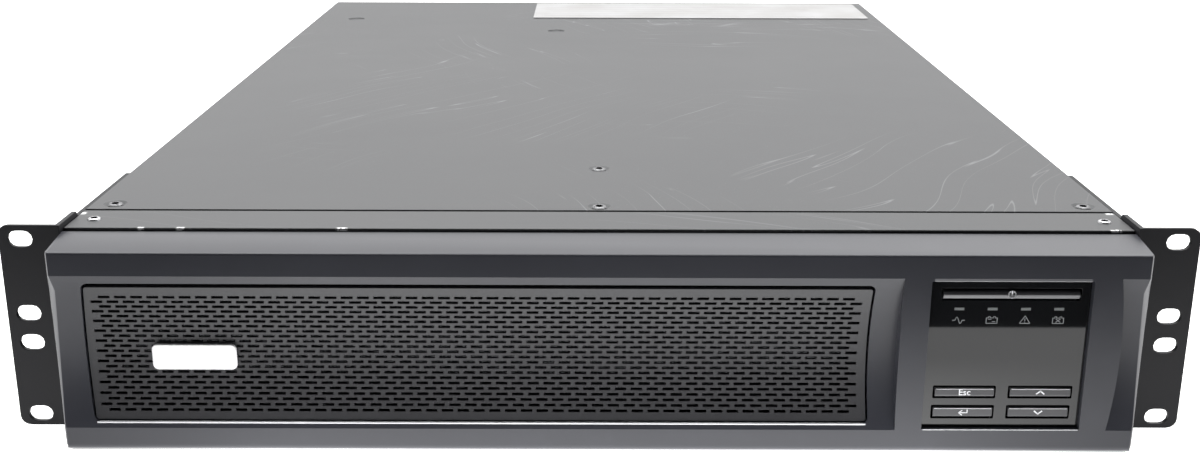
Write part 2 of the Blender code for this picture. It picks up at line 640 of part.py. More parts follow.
def make_outlet_block(name, row):
    """Moulded row of mains outlets, two blade slots and an earth hole in each."""
    front = REAR + 0.002
    outlet = place(name, block(OUTLET_X, (REAR - 0.020, front), row), DARK_PLASTIC)
    middle_z = (row[0] + row[1]) / 2
    pitch = (OUTLET_X[1] - OUTLET_X[0]) / OUTLETS_PER_ROW
    deep = (front - 0.012, front + 0.005)
    slots = bmesh.new()
    for number in range(OUTLETS_PER_ROW):
        x = OUTLET_X[0] + pitch * (number + 0.5)
        for side in (-1, 1):
            merge(slots, block(around(x + side * 0.0063, 0.0010), deep, around(middle_z + 0.004, 0.0040)))
        merge(slots, rod(0.0024, "Y", deep, (x, middle_z - 0.0085), 12))
    cut(outlet, slots)


def make_circuit_breaker():
    """Thermal breaker: body behind the panel, threaded neck and nut in front."""
    breaker = place("circuit_breaker",
                    block(around(BREAKER_AT[0], 0.010), (REAR - 0.036, REAR - SHEET - GAP),
                          around(BREAKER_AT[1], 0.014)), DARK_PLASTIC)
    add(breaker, rod(0.0060, "Y", (REAR - 0.010, REAR + 0.004), BREAKER_AT, 20))
    add(breaker, rod(0.0085, "Y", (REAR + GAP, REAR + 0.0028), BREAKER_AT, 6))
    cut(breaker, rod(0.0040, "Y", (REAR - 0.012, REAR + 0.010), BREAKER_AT, 20))


def make_breaker_button():
    """Plunger that springs out of the neck when the breaker trips."""
    x, z = BREAKER_AT
    place("breaker_button", rod(0.0036, "Y", (REAR - 0.011, REAR + 0.0060), BREAKER_AT, 18),
          DARK_PLASTIC, origin=(x, REAR, z), smooth=True)


def make_cord_gland():
    """Round strain relief for the mains cord, bored through."""
    x, z = GLAND_AT
    gland = place("cord_gland", rod(0.0140, "Y", (REAR + GAP, REAR + 0.0030), GLAND_AT, 24),
                  DARK_PLASTIC, origin=(x, REAR, z), smooth=True)
    add(gland, rod(0.0110, "Y", (REAR + 0.0020, REAR + 0.0160), GLAND_AT, 24, end_radius=0.0085))
    add(gland, rod(0.0109, "Y", (REAR - 0.0120, REAR + 0.0020), GLAND_AT, 24))
    cut(gland, rod(0.0060, "Y", (REAR - 0.02, REAR + 0.03), GLAND_AT, 20))


def make_data_ports():
    """Port block: two eight-way jacks and a square serial-bus socket."""
    front = REAR + 0.001
    ports = place("data_ports", block(PORTS_X, (REAR - 0.018, front), PORTS_Z), DARK_PLASTIC)
    z = (PORTS_Z[0] + PORTS_Z[1]) / 2
    jack = (front - 0.013, front + 0.005)
    cut(ports, blocks(*[(around(x, 0.0060), jack, around(z, 0.0055)) for x in JACK_X]))
    cut(ports, block(around(USB_X, 0.0043), (front - 0.009, front + 0.005), around(z, 0.0040)))
    add(ports, block(around(USB_X, 0.0028), (front - 0.010, front - 0.001), around(z, 0.0016)))


def make_battery_socket():
    """Two-pole socket for an outside battery pack."""
    front = REAR + 0.003
    socket = place("battery_pack_socket", block(SOCKET_X, (REAR - 0.020, front), SOCKET_Z), GREY_PLASTIC)
    z = (SOCKET_Z[0] + SOCKET_Z[1]) / 2
    cut(socket, blocks(*[(around(x, 0.0058), (front - 0.015, front + 0.005), around(z, 0.0065))
                         for x in POLE_X]))


def make_card_slot_cover():
    """Blanking plate over the slot for a communications card."""
    place("card_slot_cover", block(CARD_X, (REAR + GAP, REAR + GAP + SHEET), CARD_Z), POWDER)


def make_ground_screw():
    """Hexagon-headed earth screw."""
    x, z = GROUND_AT
    screw = place("ground_screw", rod(0.0046, "Y", (REAR + GAP, REAR + 0.0035), GROUND_AT, 6), STEEL,
                  origin=(x, REAR, z))
    add(screw, rod(SCREW_SHANK, "Y", (REAR - 0.008, REAR + 0.0020), GROUND_AT, 10))


def make_cover_label():
    """Blank white plate stuck on the cover near its back edge."""
    label = block((-0.0503, 0.2085), (EAR_Y + 0.551, EAR_Y + 0.627), (HEIGHT + GAP, HEIGHT + 2 * GAP))
    place("cover_label", label, LABEL_WHITE)


def main():
    clear_scene()
    make_base_tray()
    make_front_strip()
    make_top_cover()
    make_rear_panel()
    make_rack_ear("left_rack_ear", -1)
    make_rack_ear("right_rack_ear", 1)
    for number, at in enumerate(COVER_SCREWS, start=1):
        make_screw(f"cover_screw_{number}", at, HEIGHT)
    for number, at in enumerate(STRIP_SCREWS, start=1):
        make_screw(f"strip_screw_{number}", at, HEIGHT)
    make_bay_divider()
    make_cover_label()

    make_bezel_frame()
    make_grille()
    make_badge()

    make_display_housing()
    make_display_glass()
    make_lcd_and_board()
    make_light_guide()
    for name, (x, z) in BUTTONS.items():
        make_button(name, x, z)

    make_battery_door()
    for number, at in enumerate(DOOR_SCREWS, start=1):
        make_thumbscrew(f"door_thumbscrew_{number}", at)
    make_battery_tray()
    for number, corner in enumerate(battery_positions(), start=1):
        make_battery(f"battery_{number}", corner)
    make_pull_strap()
    make_battery_connector()

    make_main_board()
    make_heatsink("heatsink_1", -0.150)
    make_heatsink("heatsink_2", -0.060)
    make_capacitor("capacitor_1", (0.030, 0.135))
    make_capacitor("capacitor_2", (0.030, 0.185))
    make_transformer()
    for number, x in enumerate(FAN_X, start=1):
        make_fan_frame(f"fan_frame_{number}", x)
        make_fan_rotor(f"fan_rotor_{number}", x)
    for number, row in enumerate(OUTLET_ROWS, start=1):
        make_outlet_block(f"outlet_block_{number}", row)
    make_circuit_breaker()
    make_breaker_button()
    make_cord_gland()
    make_data_ports()
    make_battery_socket()
    make_card_slot_cover()
    make_ground_screw()


main()
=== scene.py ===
"""Looks of a two-unit rack uninterruptible power supply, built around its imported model."""
import json
import math

import bmesh
import bpy
from mathutils import Matrix, Vector


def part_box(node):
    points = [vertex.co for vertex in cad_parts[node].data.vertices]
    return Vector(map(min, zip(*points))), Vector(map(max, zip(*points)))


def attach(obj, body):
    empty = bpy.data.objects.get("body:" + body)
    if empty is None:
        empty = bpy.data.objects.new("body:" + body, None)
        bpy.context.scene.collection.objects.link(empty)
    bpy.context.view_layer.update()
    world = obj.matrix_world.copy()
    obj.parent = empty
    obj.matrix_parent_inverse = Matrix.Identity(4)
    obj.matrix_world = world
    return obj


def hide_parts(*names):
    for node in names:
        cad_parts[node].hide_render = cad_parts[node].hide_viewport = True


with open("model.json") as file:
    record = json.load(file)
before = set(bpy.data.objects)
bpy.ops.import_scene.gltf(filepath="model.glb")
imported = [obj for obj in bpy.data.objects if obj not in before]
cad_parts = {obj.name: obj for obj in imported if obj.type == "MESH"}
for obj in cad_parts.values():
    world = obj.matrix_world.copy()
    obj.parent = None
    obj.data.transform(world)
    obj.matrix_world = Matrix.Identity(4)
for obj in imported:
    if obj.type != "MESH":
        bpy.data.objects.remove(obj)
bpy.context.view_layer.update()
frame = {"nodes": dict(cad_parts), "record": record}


# ------------------------------------------------------------ places in CAD
def lows_highs(node):
    """A node's lowest and highest corners."""
    low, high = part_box(node)
    return Vector(low), Vector(high)


EAR_Y = lows_highs("right_rack_ear")[0].y
cover_low, cover_high = lows_highs("top_cover")
TOP = cover_high.z
bezel_low, bezel_high = lows_highs("bezel_frame")
FACE_Y, BEZEL_REAR, BEZEL_TOP = bezel_low.y, bezel_high.y, bezel_high.z
module_low, module_high = lows_highs("display_housing")
pane_low, pane_high = lows_highs("display_glass")
grille_low, grille_high = lows_highs("grille_insert")
REAR_FACE = lows_highs("rear_panel")[1].y

LIP_Z, BAND_Z = 0.0128, 0.0764    # foot and head of the bezel's hollowed face
SCOOP = 0.0060                # depth of the hollow
SHELL_FOOT = 0.0010           # height of the bezel's lower edge
HALF_FRONT = 0.2118           # half the bezel's width at its front
PILLAR_WIDTH = 0.0105
TOP_FALL = 0.0007             # the bezel's top is a little lower at its back
WINDOW_GAP = 0.0004
WINDOW_X = (module_low.x - WINDOW_GAP, module_high.x + WINDOW_GAP)
WINDOW_Z = (module_low.z - WINDOW_GAP - 0.00005, module_high.z + WINDOW_GAP - 0.00005)
POCKET_GAP = 0.0005
POCKET_X = (grille_low.x, grille_high.x + POCKET_GAP)
POCKET_Z = (grille_low.z - POCKET_GAP, grille_high.z + POCKET_GAP)
POCKET_CORNER = 0.0026
POCKET_BOW = (0.0024, 0.0007)    # both ends curve to the left at mid height


def scoop(z):
    """How far the hollowed face lies behind the flat front at height z."""
    middle, half = (BAND_Z + LIP_Z) / 2, (BAND_Z - LIP_Z) / 2
    radius = (half ** 2 + SCOOP ** 2) / (2 * SCOOP)
    reach = min(abs(z - middle), half)
    return math.sqrt(radius ** 2 - reach ** 2) - (radius - SCOOP)


def steps(low, high, count):
    """Evenly spaced values from low to high, both included."""
    return [low + (high - low) * i / count for i in range(count + 1)]


def middling(z):
    """1 at mid height of the grille, 0 at its head and foot."""
    middle, half = sum(POCKET_Z) / 2, (POCKET_Z[1] - POCKET_Z[0]) / 2
    return max(0.0, 1 - ((z - middle) / half) ** 2)


def pocket_outline(inset, head=0.0):
    """Outline of the grille's opening, shrunk by inset, its ends bowed to the left."""
    x = (POCKET_X[0] + inset, POCKET_X[1] - inset)
    z = (POCKET_Z[0] + inset, POCKET_Z[1] - inset - head)
    outline = []
    for px, pz in side_points(rounded(x, z, POCKET_CORNER, 8)):
        bow = POCKET_BOW[0] if px < (x[0] + x[1]) / 2 else POCKET_BOW[1]
        outline.append((px - bow * middling(pz), pz))
    return outline


def side_points(outline):
    """The same outline with extra points along its long steep runs."""
    fuller = []
    for (x0, z0), (x1, z1) in zip(outline, outline[1:] + outline[:1]):
        parts = 12 if abs(z1 - z0) > 0.01 else 1
        fuller += [(x0 + (x1 - x0) * i / parts, z0 + (z1 - z0) * i / parts) for i in range(parts)]
    return fuller


# display and keys
BUTTONS = ("power_button", "esc_button", "enter_button", "up_button", "down_button")
PROUD = Vector((-0.0007, -0.0025, 0.0007))    # the display's face stands this far out of its solid
COLLAR = 0.0007               # rim of each key behind the pane
KEY_GAP = 0.0006              # dark line round each key
HOLE_MARGIN = 0.0001
LAMP_X = tuple(x + PROUD.x for x in (0.1404, 0.1533, 0.1662, 0.1791))
LAMP_Z, ICON_Z = 0.0625 + PROUD.z, 0.0578 + PROUD.z


def key_face(name):
    """The box of a key's visible cap, without the collar behind the wall."""
    low, high = lows_highs(name)
    return (Vector((low.x + COLLAR, low.y, low.z + COLLAR)) + PROUD,
            Vector((high.x - COLLAR + PROUD.x, high.y, high.z - COLLAR + PROUD.z)))


# ----------------------------------------------------------- shader building
class Value:
    """An output of a finish's nodes; arithmetic on it adds Math nodes."""

    def __init__(self, finish, socket):
        self.finish = finish
        self.socket = socket

    def maths(self, operation, *operands):
        return self.finish.node("ShaderNodeMath", {"operation": operation}, *operands)

    def __add__(self, other):
        return self.maths("ADD", self, other)

    def __sub__(self, other):
        return self.maths("SUBTRACT", self, other)

    def __rsub__(self, other):
        return self.maths("SUBTRACT", other, self)

    def __mul__(self, other):
        return self.maths("MULTIPLY", self, other)

    __radd__ = __add__
    __rmul__ = __mul__

    def above(self, edge, soft=0.0):
        """1 where the value is over edge, 0 under it, with a ramp of width soft."""
        if not soft:
            return self.maths("GREATER_THAN", self, edge)
        return self.finish.node("ShaderNodeMapRange", {}, self, edge - soft / 2, edge + soft / 2)

    def below(self, edge, soft=0.0):
        return 1.0 - self.above(edge, soft)

    def near(self, centre, half, soft):
        """1 within half of centre, fading out over soft."""
        return self.maths("ABSOLUTE", self - centre).below(half, soft)


class Finish:
    """One material, put together by short calls."""

    def __init__(self, name, colour, roughness, metallic=0.0, **fixed):
        self.material = bpy.data.materials.new(name)
        self.material.use_nodes = True
        self.tree = self.material.node_tree
        self.shader = self.tree.nodes["Principled BSDF"]
        self.colour = (*colour, 1.0)
        self.shader.inputs["Base Color"].default_value = self.colour
        self.shader.inputs["Roughness"].default_value = roughness
        self.shader.inputs["Metallic"].default_value = metallic
        for socket, value in fixed.items():
            self.shader.inputs[socket.replace("_", " ")].default_value = value
        self.place = self.node("ShaderNodeTexCoord", {}, output="Object")

    def node(self, kind, settings, *operands, output=0, **named):
        """Add any node: its settings first, then its sockets in order or by name."""
        made = self.tree.nodes.new(kind)
        for key, value in settings.items():
            setattr(made, key, value)
        for socket, value in [*enumerate(operands), *named.items()]:
            if isinstance(socket, str):
                socket = socket.replace("_", " ")
            self.feed(made.inputs[socket], value)
        return Value(self, made.outputs[output])

    def feed(self, socket, value):
        if isinstance(value, Value):
            self.tree.links.new(value.socket, socket)
        else:
            socket.default_value = value

    def axes(self):
        split = self.node("ShaderNodeSeparateXYZ", {}, self.place)
        outputs = split.socket.node.outputs
        return [Value(self, outputs[i]) for i in range(3)]

    def stretched(self, factors):
        return self.node("ShaderNodeMapping", {}, self.place, Scale=factors)

    def noise(self, scale, detail=2.0, roughness=0.5, place=None):
        return self.node("ShaderNodeTexNoise", {}, Vector=place or self.place, Scale=scale,
                         Detail=detail, Roughness=roughness)

    def cells(self, scale, feature="F1", output="Distance"):
        return self.node("ShaderNodeTexVoronoi", {"feature": feature}, Vector=self.place,
                         Scale=scale, output=output)

    def mixed(self, amount, first, second):
        """Blend two colours."""
        made = self.tree.nodes.new("ShaderNodeMix")
        made.data_type = "RGBA"
        for index, value in ((0, amount), (6, first), (7, second)):
            if isinstance(value, tuple) and len(value) == 3:
                value = (*value, 1.0)
            self.feed(made.inputs[index], value)
        return Value(self, made.outputs[2])

    def put(self, socket, value):
        self.feed(self.shader.inputs[socket], value)

    def bump(self, height, distance, strength=1.0):
        made = self.node("ShaderNodeBump", {}, Strength=strength, Distance=distance, Height=height)
        self.put("Normal", made)


def shade(colour, factor):
    return tuple(min(1.0, c * factor) for c in colour)


# ------------------------------------------------------------------ finishes
def scratches(finish, density, turn, seed):
    """Fine stray scuffs: thin bright threads cut out of stretched noise."""
    bend = finish.node("ShaderNodeTexNoise", {}, Vector=finish.place, Scale=6.0, Detail=1.0, output="Color")
    bent = finish.node("ShaderNodeVectorMath", {"operation": "MULTIPLY_ADD"}, bend, (0.07, 0.07, 0.0),
                       finish.place)
    turned_place = finish.node("ShaderNodeMapping", {}, bent, Location=(seed, seed * 0.7, 0.0),
                               Rotation=(0, 0, turn))
    place = finish.node("ShaderNodeMapping", {}, turned_place, Scale=(1.5, 34.0, 1.0))
    thread = finish.noise(2.0, 2.0, 0.5, place).near(0.5, 0.003, 0.005)
    patch = finish.noise(5.0, 2.0, 0.5, turned_place).above(density, 0.06)
    return thread * patch


def paint_layers(finish, colour):
    """Powder coat's fine grain, its broad clouds and the tone that they give."""
    grain = finish.noise(1700.0, 2.0, 0.6)
    cloud = finish.noise(6.0, 4.0, 0.6)
    return grain, cloud, finish.mixed(cloud, shade(colour, 0.86), shade(colour, 1.16))


def powder_coat(name, colour, sheen=0.5):
    """Dark textured paint with cloudy tone, faint scuffs and specks of dust."""
    finish = Finish(name, colour, 0.5, Specular_IOR_Level=sheen)
    grain, cloud, tone = paint_layers(finish, colour)
    marks = (scratches(finish, 0.57, 1.2, 1.3) + scratches(finish, 0.59, -0.9, 4.1)
             + scratches(finish, 0.60, 0.2, 7.7))
    dust = finish.cells(330.0).below(0.08, 0.03) * finish.noise(11.0).above(0.50, 0.1)
    tone = finish.mixed(marks * 0.4 + dust * 0.3, tone, shade(colour, 4.5))
    finish.put("Base Color", tone)
    finish.put("Roughness", 0.42 + cloud * 0.12 + grain * 0.06 - marks * 0.08)
    finish.bump(grain, 0.00004, 0.55)
    return finish.material


def moulded(name, colour, roughness, texture=1400.0, depth=0.00002, sheen=0.5):
    """Moulded plastic with a spark-eroded texture and slight handling marks."""
    finish = Finish(name, colour, roughness, Specular_IOR_Level=sheen)
    grain = finish.noise(texture, 2.0, 0.6)
    cloud = finish.noise(9.0, 3.0, 0.6)
    tone = finish.mixed(cloud, shade(colour, 0.90), shade(colour, 1.10))
    rub = finish.noise(40.0, 4.0, 0.65).above(0.60, 0.15)
    finish.put("Base Color", finish.mixed(rub * 0.25, tone, shade(colour, 1.35)))
    finish.put("Roughness", roughness - 0.04 + cloud * 0.08 + grain * 0.04)
    finish.bump(grain, depth, 0.5)
    return finish.material


def bar_plastic():
    """Satin black power bar whose sloping lower edge is painted paler, a painted highlight of the floor
    mirrored in it.
    """
    colour = (0.012, 0.012, 0.014)
    finish = Finish("bar_plastic", colour, 0.3)
    grain = finish.noise(2200.0, 2.0, 0.6)
    height = finish.axes()[2]
    slope = height.below(key_face("power_button")[0].z + KEY_GAP + 0.0017, 0.0008)
    # the paler colour on the lower slope is a painted highlight: the floor mirrored in the down-facing
    # chamfer
    finish.put("Base Color", finish.mixed(slope * (0.85 + grain * 0.15), colour, (0.105, 0.105, 0.112)))
    finish.put("Roughness", 0.26 + grain * 0.06)
    finish.bump(grain, 0.00001, 0.5)
    return finish.material


def polished_pane():
    """Tinted, polished cover with a little dust and the finest wipe marks."""
    colour = (0.0055, 0.0058, 0.0066)
    finish = Finish("display_pane", colour, 0.07, Coat_Weight=0.0)
    dust = finish.cells(900.0).below(0.05, 0.03) * finish.noise(30.0).above(0.55, 0.1)
    wipe = finish.noise(5.0, 3.0, 0.5, finish.stretched((1.0, 1.0, 9.0)))
    finish.put("Base Color", finish.mixed(dust * 0.2, colour, (0.12, 0.12, 0.12)))
    finish.put("Roughness", 0.02 + wipe * 0.035 + dust * 0.3)
    return finish.material


def sheet_zinc(name, colour):
    """Zinc-plated sheet: soft spangle and rolling marks."""
    finish = Finish(name, colour, 0.4, 0.9)
    spangle = finish.cells(260.0, output="Color")
    level = finish.node("ShaderNodeRGBToBW", {}, spangle)
    rolled = finish.noise(900.0, 2.0, 0.6, finish.stretched((1.0, 0.03, 1.0)))
    finish.put("Base Color", finish.mixed(level, shade(colour, 0.85), shade(colour, 1.1)))
    finish.put("Roughness", 0.32 + level * 0.12 + rolled * 0.08)
    finish.bump(rolled, 0.00001, 0.4)
    return finish.material


def turned_steel(name, colour, roughness=0.3):
    """Bare screw steel with fine turning marks and dull spots."""
    finish = Finish(name, colour, roughness, 1.0)
    fine = finish.noise(2600.0, 2.0, 0.6, finish.stretched((1.0, 1.0, 0.2)))
    spots = finish.noise(600.0, 3.0, 0.6).above(0.58, 0.1)
    finish.put("Base Color", finish.mixed(spots * 0.6, colour, shade(colour, 0.45)))
    finish.put("Roughness", roughness + fine * 0.15 + spots * 0.2)
    finish.bump(fine, 0.00001, 0.4)
    return finish.material


def banded(name, colour, other, axis, pitch, roughness, metallic):
    """Layers or turns laid side by side along an axis, as in a core or a winding."""
    finish = Finish(name, colour, roughness, metallic)
    along = finish.axes()[axis]
    wave = finish.node("ShaderNodeMath", {"operation": "SINE"}, along * (2 * math.pi / pitch))
    layer = wave * 0.5 + 0.5
    stain = finish.noise(120.0, 3.0, 0.6)
    finish.put("Base Color", finish.mixed(layer * 0.7 + stain * 0.3, other, colour))
    finish.put("Roughness", roughness + stain * 0.12)
    finish.bump(layer, pitch * 0.15, 0.6)
    return finish.material


def solder_mask():
    """Green circuit board with copper tracks under the mask and pale pads."""
    green, track, pad = (0.012, 0.085, 0.035), (0.03, 0.16, 0.07), (0.55, 0.56, 0.55)
    finish = Finish("circuit_board", green, 0.35)
    lanes = finish.cells(240.0, "DISTANCE_TO_EDGE").below(0.10, 0.04)
    dots = finish.cells(170.0).below(0.14, 0.02)
    tone = finish.mixed(lanes * 0.8, green, track)
    finish.put("Base Color", finish.mixed(dots, tone, pad))
    finish.put("Metallic", dots * 0.8)
    finish.bump(lanes, 0.00003, 0.5)
    return finish.material


def webbing():
    """Woven strap: two crossing sets of threads."""
    colour = (0.022, 0.022, 0.024)
    finish = Finish("strap_webbing", colour, 0.85)
    x, y, z = finish.axes()
    warp = finish.node("ShaderNodeMath", {"operation": "SINE"}, x * 5200.0)
    weft = finish.node("ShaderNodeMath", {"operation": "SINE"}, (y + z) * 4200.0)
    weave = warp * weft * 0.5 + 0.5
    finish.put("Base Color", finish.mixed(weave, shade(colour, 0.6), shade(colour, 2.0)))
    finish.bump(weave, 0.0003, 0.7)
    return finish.material


RULE, RULED_LINES = 0.0005, 6    # width of a ruled line on the label, and how many there are


def label_stock():
    """Blank white label film, a little soiled, with faint ruled lines."""
    colour = (0.36, 0.36, 0.365)
    low, high = lows_highs("cover_label")
    finish = Finish("label_white", colour, 0.6, Specular_IOR_Level=0.2)
    x, y = finish.axes()[:2]
    soil = finish.noise(25.0, 4.0, 0.6)
    fibre = finish.noise(1200.0, 2.0, 0.6)
    ruled = 0.0
    for y_line in steps(low.y, high.y, RULED_LINES + 1)[1:-1]:
        ruled = y.near(y_line, RULE / 2, RULE / 2) + ruled
    ruled = ruled * x.above(low.x + 0.008, 0.001) * x.below(high.x - 0.040, 0.001)
    tone = finish.mixed(soil.above(0.45, 0.4), colour, (0.31, 0.305, 0.30))
    finish.put("Base Color", finish.mixed(ruled * 0.6, tone, (0.12, 0.12, 0.125)))
    finish.put("Roughness", 0.55 + soil * 0.2)
    finish.bump(fibre, 0.00001, 0.4)
    return finish.material


def printed(name, colour, roughness=0.45):
    """Screen-printed ink or a small lamp lens, slightly uneven."""
    finish = Finish(name, colour, roughness)
    patchy = finish.noise(2500.0, 2.0, 0.6)
    finish.put("Base Color", finish.mixed(patchy, shade(colour, 0.85), shade(colour, 1.08)))
    finish.put("Roughness", roughness + patchy * 0.1)
    return finish.material


CHASSIS_COLOUR = (0.040, 0.041, 0.043)
FINISHES = {
    "chassis_paint": powder_coat("chassis_paint", CHASSIS_COLOUR),
    "ear_paint": powder_coat("ear_paint", (0.006, 0.006, 0.0080), 0.28),
    "bezel_plastic": moulded("bezel_plastic", (0.027, 0.028, 0.035), 0.30, sheen=0.36),
    "black_plastic": moulded("black_plastic", (0.014, 0.014, 0.016), 0.42),
    "button_plastic": moulded("button_plastic", (0.035, 0.035, 0.039), 0.28, 2200.0, 0.00001, 0.5),
    "badge_plastic": moulded("badge_plastic", (0.88, 0.88, 0.89), 0.28, 1800.0, 0.00001),
    "display_pane": polished_pane(),
    "screen": moulded("screen", (0.08, 0.10, 0.08), 0.18),
    "lens": printed("lens", (0.30, 0.31, 0.31), 0.25),
    "circuit_board": solder_mask(),
    "zinc_steel": sheet_zinc("zinc_steel", (0.42, 0.43, 0.45)),
    "screw_steel": turned_steel("screw_steel", (0.46, 0.46, 0.47)),
    "core_steel": banded("core_steel", (0.24, 0.24, 0.25), (0.06, 0.06, 0.06), 1, 0.0010, 0.35, 0.9),
    "fin_aluminium": sheet_zinc("fin_aluminium", (0.68, 0.69, 0.70)),
    "copper_winding": banded("copper_winding", (0.60, 0.24, 0.09), (0.16, 0.05, 0.02), 2, 0.0011, 0.3, 0.8),
    "battery_plastic": moulded("battery_plastic", (0.055, 0.062, 0.075), 0.42),
    "strap_webbing": webbing(),
    "label_white": label_stock(),
}
GRILLE_FINISH = moulded("grille_plastic", (0.032, 0.032, 0.035), 0.38, sheen=0.40)
INK = printed("legend_ink", (0.74, 0.75, 0.77))
ICON_INK = printed("icon_ink", (0.27, 0.28, 0.29))
LAMP_LENS = printed("lamp_lens", (0.15, 0.16, 0.16), 0.25)
WORN_HEAD = turned_steel("worn_head", (0.20, 0.20, 0.205), 0.4)
# pale materials for thin strips that stand for edge highlights: painted highlights
EDGE_HIGHLIGHT = moulded("painted_edge_highlight", (0.62, 0.63, 0.65), 0.25)
BROW_HIGHLIGHT = moulded("painted_brow_highlight", (0.34, 0.34, 0.35), 0.25)
# pale strip on the small keys' upper edges: a painted highlight
CREST_HIGHLIGHT = moulded("painted_key_crest_highlight", (0.50, 0.50, 0.52), 0.25)
# near-black without specular: painted shade, put in screw sockets and behind the grille's edge gap
SHADE_FILL = moulded("painted_shade_fill", (0.003, 0.003, 0.003), 0.8, sheen=0.0)

# ------------------------------------------------------------- mesh building
SLOT_OF = {row["node"]: row["material_slot"] for row in frame["record"]["subparts"]}
BODY_OF = {node: body for body, members in frame["record"]["behaviour"]["bodies"].items()
           for node in members}
AXES = {"X": Vector((1, 0, 0)), "Y": Vector((0, 1, 0)), "Z": Vector((0, 0, 1))}


def block(x, y, z, bevel=0.0, segments=2):
    """Box between three pairs of limits, with rounded edges where asked."""
    shape = bmesh.new()
    bmesh.ops.create_cube(shape, size=1.0)
    bmesh.ops.scale(shape, verts=shape.verts, vec=(x[1] - x[0], y[1] - y[0], z[1] - z[0]))
    middle = Vector((x[0] + x[1], y[0] + y[1], z[0] + z[1])) / 2
    bmesh.ops.translate(shape, verts=shape.verts, vec=middle)
    if bevel:
        bmesh.ops.bevel(shape, geom=shape.edges[:], offset=bevel, segments=segments, profile=0.5,
                        affect="EDGES", clamp_overlap=True, material=-1)
    return shape


def prism(outline, axis, span):
    """Extrude an outline: (y, z) pairs along X, (x, z) along Y, (x, y) along Z."""
    def point(a, b):
        return {"X": (span[0], a, b), "Y": (a, span[0], b), "Z": (a, b, span[0])}[axis]

    shape = bmesh.new()
    face = shape.faces.new([shape.verts.new(point(a, b)) for a, b in outline])
    grown = bmesh.ops.extrude_face_region(shape, geom=[face])
    moved = [item for item in grown["geom"] if isinstance(item, bmesh.types.BMVert)]
    bmesh.ops.translate(shape, verts=moved, vec=AXES[axis] * (span[1] - span[0]))
    bmesh.ops.recalc_face_normals(shape, faces=shape.faces)
    return shape


def arc(centre, radius, start, end, count):
    """Points round a centre from one angle to another, in degrees."""
    turns = [math.radians(start + (end - start) * i / count) for i in range(count + 1)]
    return [(centre[0] + radius * math.cos(a), centre[1] + radius * math.sin(a)) for a in turns]


def rounded(x, z, radius, count=5):
    """Outline of a rectangle with round corners."""
    (x0, x1), (z0, z1) = x, z
    return (arc((x1 - radius, z0 + radius), radius, -90, 0, count)
            + arc((x1 - radius, z1 - radius), radius, 0, 90, count)
            + arc((x0 + radius, z1 - radius), radius, 90, 180, count)
            + arc((x0 + radius, z0 + radius), radius, 180, 270, count))


QUARTERS = {"Y": (-1, "X"), "X": (1, "Y"), "-X": (-1, "Y")}    # quarter turns from +Z


def turned(profile, at, axis="Z", count=32):
    """Spin (radius, height) pairs about an axis through at."""
    shape = bmesh.new()
    verts = [shape.verts.new((r, 0.0, h)) for r, h in profile]
    edges = [shape.edges.new(pair) for pair in zip(verts, verts[1:])]
    bmesh.ops.spin(shape, geom=verts + edges, cent=(0, 0, 0), axis=(0, 0, 1), angle=2 * math.pi,
                   steps=count, use_merge=True)
    bmesh.ops.remove_doubles(shape, verts=shape.verts, dist=1e-7)
    bmesh.ops.recalc_face_normals(shape, faces=shape.faces)
    if axis != "Z":
        quarter, about = QUARTERS[axis]
        turn = Matrix.Rotation(quarter * math.pi / 2, 3, about)
        bmesh.ops.rotate(shape, verts=shape.verts, matrix=turn)
    bmesh.ops.translate(shape, verts=shape.verts, vec=at)
    return shape


def gather(shapes):
    """Put several separate shapes into one."""
    whole = bmesh.new()
    for shape in shapes:
        mesh = bpy.data.meshes.new("part")
        shape.to_mesh(mesh)
        shape.free()
        whole.from_mesh(mesh)
        bpy.data.meshes.remove(mesh)
    return whole


def raw(name, shape):
    """A bare object made of a shape."""
    mesh = bpy.data.meshes.new(name)
    shape.to_mesh(mesh)
    shape.free()
    piece = bpy.data.objects.new(name, mesh)
    bpy.context.collection.objects.link(piece)
    return piece


def settle(piece):
    """Replace a piece's mesh with what its modifiers make of it."""
    graph = bpy.context.evaluated_depsgraph_get()
    made = bpy.data.meshes.new_from_object(piece.evaluated_get(graph), preserve_all_data_layers=True,
                                           depsgraph=graph)
    piece.modifiers.clear()
    piece.data = made
    return piece


def combine(piece, shape, operation):
    """Cut a shape out of a piece, or join it on."""
    bmesh.ops.recalc_face_normals(shape, faces=shape.faces)
    other = raw("tool", shape)
    modifier = piece.modifiers.new("combine", "BOOLEAN")
    modifier.operation = operation
    modifier.solver = "EXACT"
    modifier.object = other
    settle(piece)
    bpy.data.objects.remove(other)
    return piece


FLAT_AREA = 0.00002           # faces larger than this are kept flat
SHARP = 35                    # degrees between faces, from which an edge counts as sharp


def keep_flats(mesh):
    """Shade every large face that is square to the unit as truly flat."""
    normals = [corner.vector.copy() for corner in mesh.corner_normals]
    for face in mesh.polygons:
        if face.area > FLAT_AREA and max(abs(part) for part in face.normal) > 0.99999:
            for index in face.loop_indices:
                normals[index] = face.normal.copy()
    mesh.normals_split_custom_set(normals)


def soften(piece, width, segments=2, angle=SHARP):
    """Round every sharp edge by a small width and keep the flats flat."""
    piece.data.shade_smooth()
    piece.data.set_sharp_from_angle(angle=math.radians(angle))
    modifier = piece.modifiers.new("soften", "BEVEL")
    modifier.width = width
    modifier.segments = segments
    modifier.limit_method = "ANGLE"
    modifier.angle_limit = math.radians(angle)
    modifier.harden_normals = True
    modifier.use_clamp_overlap = True
    settle(piece)
    keep_flats(piece.data)
    return piece


def finish_piece(piece, finish, body, replaces=()):
    """Give a piece its material, the body it moves with and the nodes it stands for."""
    piece.data.materials.clear()
    piece.data.materials.append(finish)
    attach(piece, body)
    if replaces:
        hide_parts(*replaces)
    return piece


